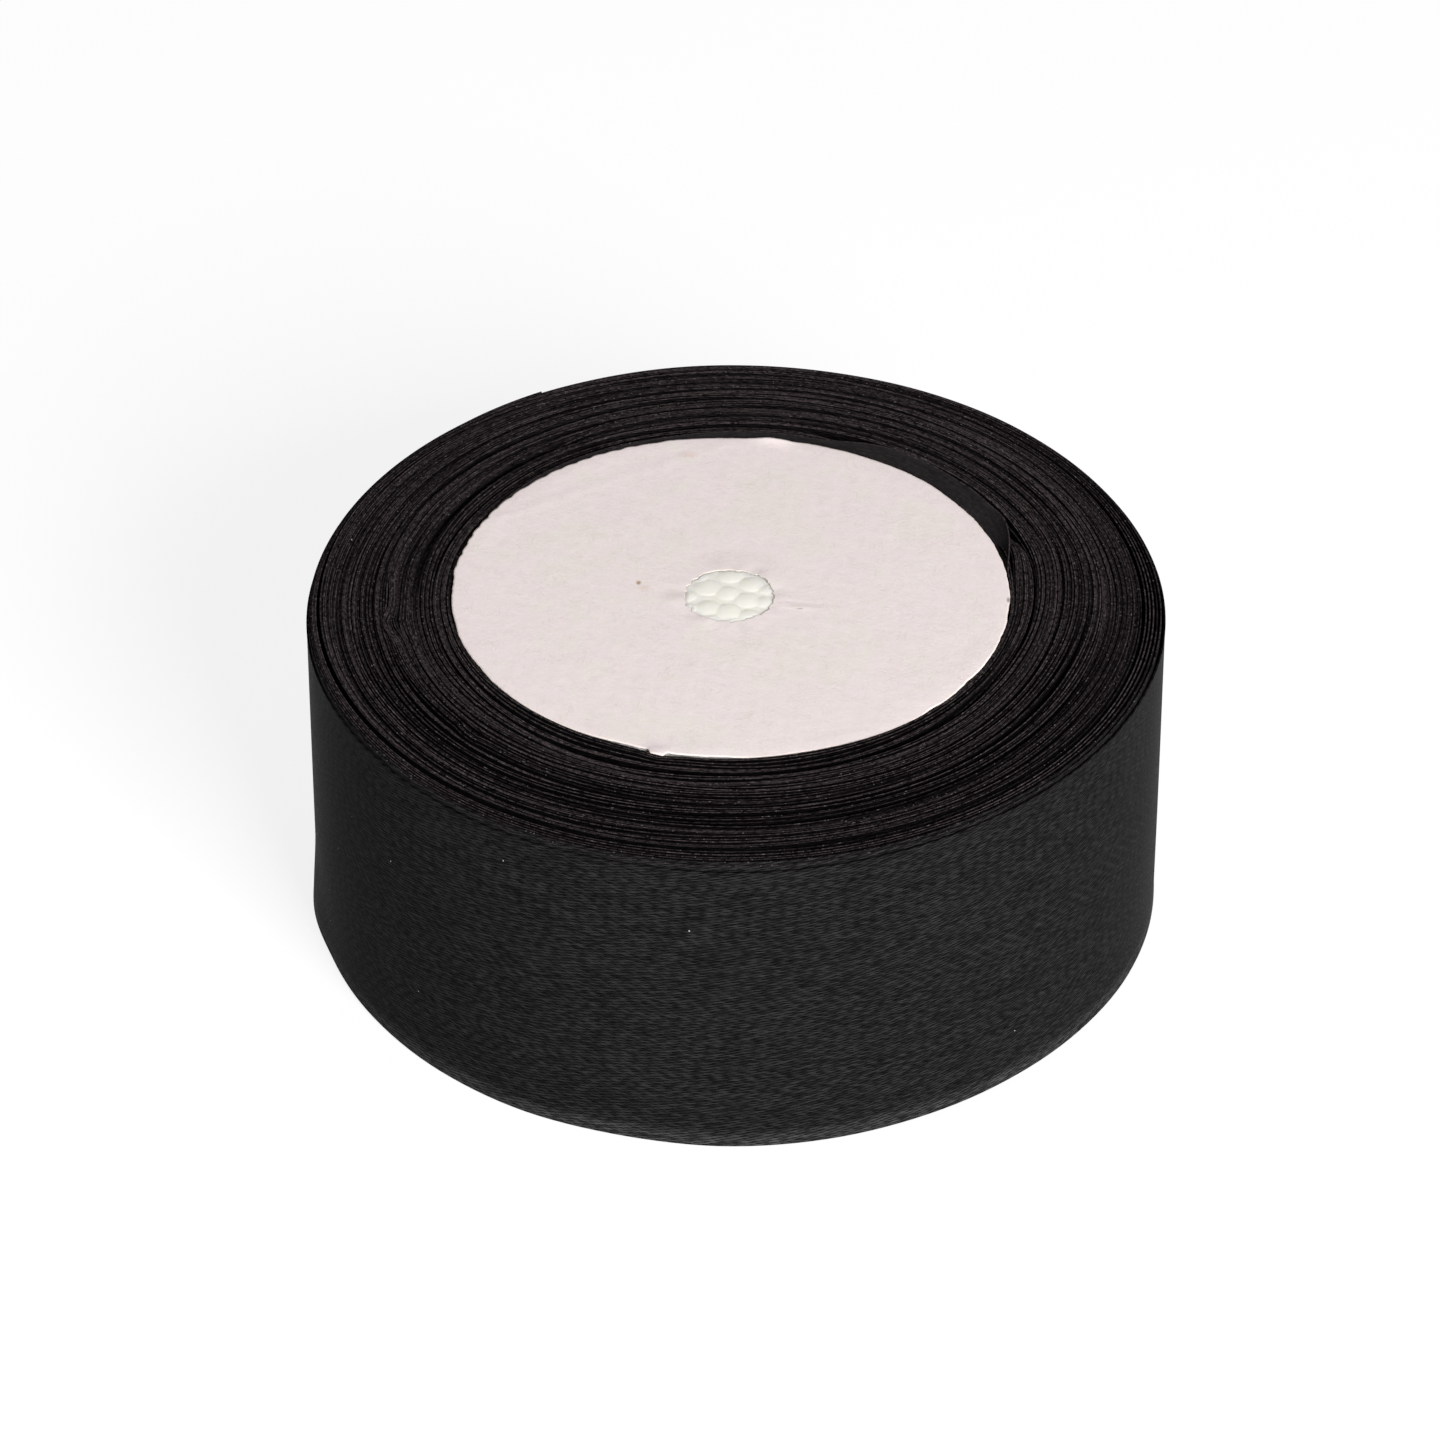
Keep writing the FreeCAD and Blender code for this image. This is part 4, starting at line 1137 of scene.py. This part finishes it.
def tape_material():
    m = Nodes("clear_film")
    arc, up, _ = m.split(m.attr("strip").outputs["Vector"])
    streak = m.noise(m.vec(m.math("MULTIPLY", arc, 0.35), m.math("MULTIPLY", up, 2.4), 0.0), 1.0, 3.0, 0.6)
    blotch = m.noise(m.vec(m.math("MULTIPLY", arc, 0.9), m.math("MULTIPLY", up, 0.9), 5.0), 1.0, 2.0, 0.5)
    c = m.mix(m.ramp(streak, 0.35, 0.7), rgba(0.060, 0.058, 0.052), rgba(0.105, 0.100, 0.088))
    m.set(
        Base_Color=c,
        Roughness=m.ramp(blotch, 0.35, 0.7, 0.10, 0.24, "LINEAR"),
        Alpha=m.ramp(streak, 0.35, 0.7, 0.26, 0.38, "LINEAR"),
        Normal=m.bump(m.math("ADD", streak, blotch), 0.03 * MM, 0.5),
    )
    m.bsdf.inputs["Specular IOR Level"].default_value = 0.6
    return m.mat


def adhesive_material():
    m = Nodes("double_sided_film")
    co = m.new("ShaderNodeTexCoord").outputs["Object"]
    s = m.new("ShaderNodeVectorMath", operation="SCALE")
    m.put(s.inputs[0], co)
    s.inputs["Scale"].default_value = 1000.0
    p = s.outputs[0]
    n1 = m.noise(p, 0.8, 3.0, 0.6)
    n2 = m.noise(p, 5.0, 2.0, 0.5)
    c = m.mix(m.ramp(n1, 0.35, 0.65), rgba(0.62, 0.56, 0.42), rgba(0.72, 0.68, 0.56))
    m.set(Base_Color=c, Roughness=m.ramp(n2, 0.3, 0.7, 0.25, 0.45, "LINEAR"), Normal=m.bump(n2, 0.03 * MM, 0.4))
    return m.mat


satin_roll = satin("black_satin_wound", 1.0)
satin_face = satin("black_satin_face", 0.0)
for ob in (wound, slipped):
    ob.data.materials.append(satin_roll)
for ob in (outer, tail):
    ob.data.materials.append(satin_face)
upper.data.materials.append(paper("core_paper", True))
lower.data.materials.append(paper("core_paper_lower", False))
foam.data.materials.append(foam_material())
tape.data.materials.append(tape_material())
glue = adhesive_material()
for node_name in ("core_start_tape",):
    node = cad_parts[node_name]
    if not node.material_slots:
        node.data.materials.append(glue)
    for slot_ in node.material_slots:
        slot_.material = glue

# ---------------------------------------------------------------------------------------------
# What rides on what
# ---------------------------------------------------------------------------------------------

for ob, node_names, slot_name in (
    (wound, ("wound_turns",), "ribbon"),
    (slipped, ("slipped_outer_turns",), "ribbon"),
    (outer, ("outer_wrap",), "ribbon"),
    (foam, ("foam_core",), "foam"),
    (upper, ("upper_face_card",), "card"),
    (lower, ("lower_face_card",), "card"),
):
    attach(ob, "roll")
    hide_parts(*node_names)

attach(tape, "free_end")
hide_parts("end_tape")


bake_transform(tail)
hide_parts("ribbon_tail")

# ---------------------------------------------------------------------------------------------
# Floor, light and camera
# ---------------------------------------------------------------------------------------------

floor_mesh = bpy.data.meshes.new("floor")
F_HALF = 3.0
floor_mesh.from_pydata(
    [(-F_HALF, -F_HALF, 0), (F_HALF, -F_HALF, 0), (F_HALF, F_HALF, 0), (-F_HALF, F_HALF, 0)], [], [(0, 1, 2, 3)]
)
floor = bpy.data.objects.new("floor", floor_mesh)
scene.collection.objects.link(floor)
floor.location = (0, 0, CAD_LO[2] - 0.00005)
fm = Nodes("floor_white")
fm.set(Base_Color=rgba(0.17, 0.17, 0.17), Roughness=0.7)
fm.bsdf.inputs["Specular IOR Level"].default_value = 0.1
fm.bsdf.inputs["Emission Color"].default_value = rgba(1, 1, 1)
fm.bsdf.inputs["Emission Strength"].default_value = 0.84
floor_mesh.materials.append(fm.mat)

world = bpy.data.worlds.new("studio")
scene.world = world
world.use_nodes = True
wt = world.node_tree
bg = wt.nodes["Background"] if "Background" in wt.nodes else wt.nodes.new("ShaderNodeBackground")
bg.inputs[0].default_value = (1, 1, 1, 1)
bg.inputs[1].default_value = 0.16


def area(name, location, target, size, energy):
    data = bpy.data.lights.new(name, "AREA")
    data.shape = "RECTANGLE"
    data.size, data.size_y = size
    data.energy = energy
    ob = bpy.data.objects.new(name, data)
    scene.collection.objects.link(ob)
    ob.location = location
    from mathutils import Vector

    d = Vector(target) - Vector(location)
    ob.rotation_mode = "QUATERNION"
    ob.rotation_quaternion = d.to_track_quat("-Z", "Y")
    return ob


area("key", (0.54, -1.155, 0.68), (0, 0, 0.02), (0.5, 0.5), 35.0)
area("top", (0.0, 0.35, 1.25), (0, 0, 0.02), (1.0, 0.8), 2.0)

cam_data = bpy.data.cameras.new("camera")
cam = bpy.data.objects.new("camera", cam_data)
scene.collection.objects.link(cam)
cam.location = (-0.00192, -0.66673, 0.51022)
cam.rotation_euler = (math.radians(53.84), 0, 0)
cam_data.lens = 181.2
cam_data.sensor_width = 36
cam_data.clip_start, cam_data.clip_end = 0.01, 20
scene.camera = cam

scene.view_settings.view_transform = "Standard"
scene.view_settings.look = "None"
scene.view_settings.exposure = 0.0
scene.view_settings.gamma = 1.0
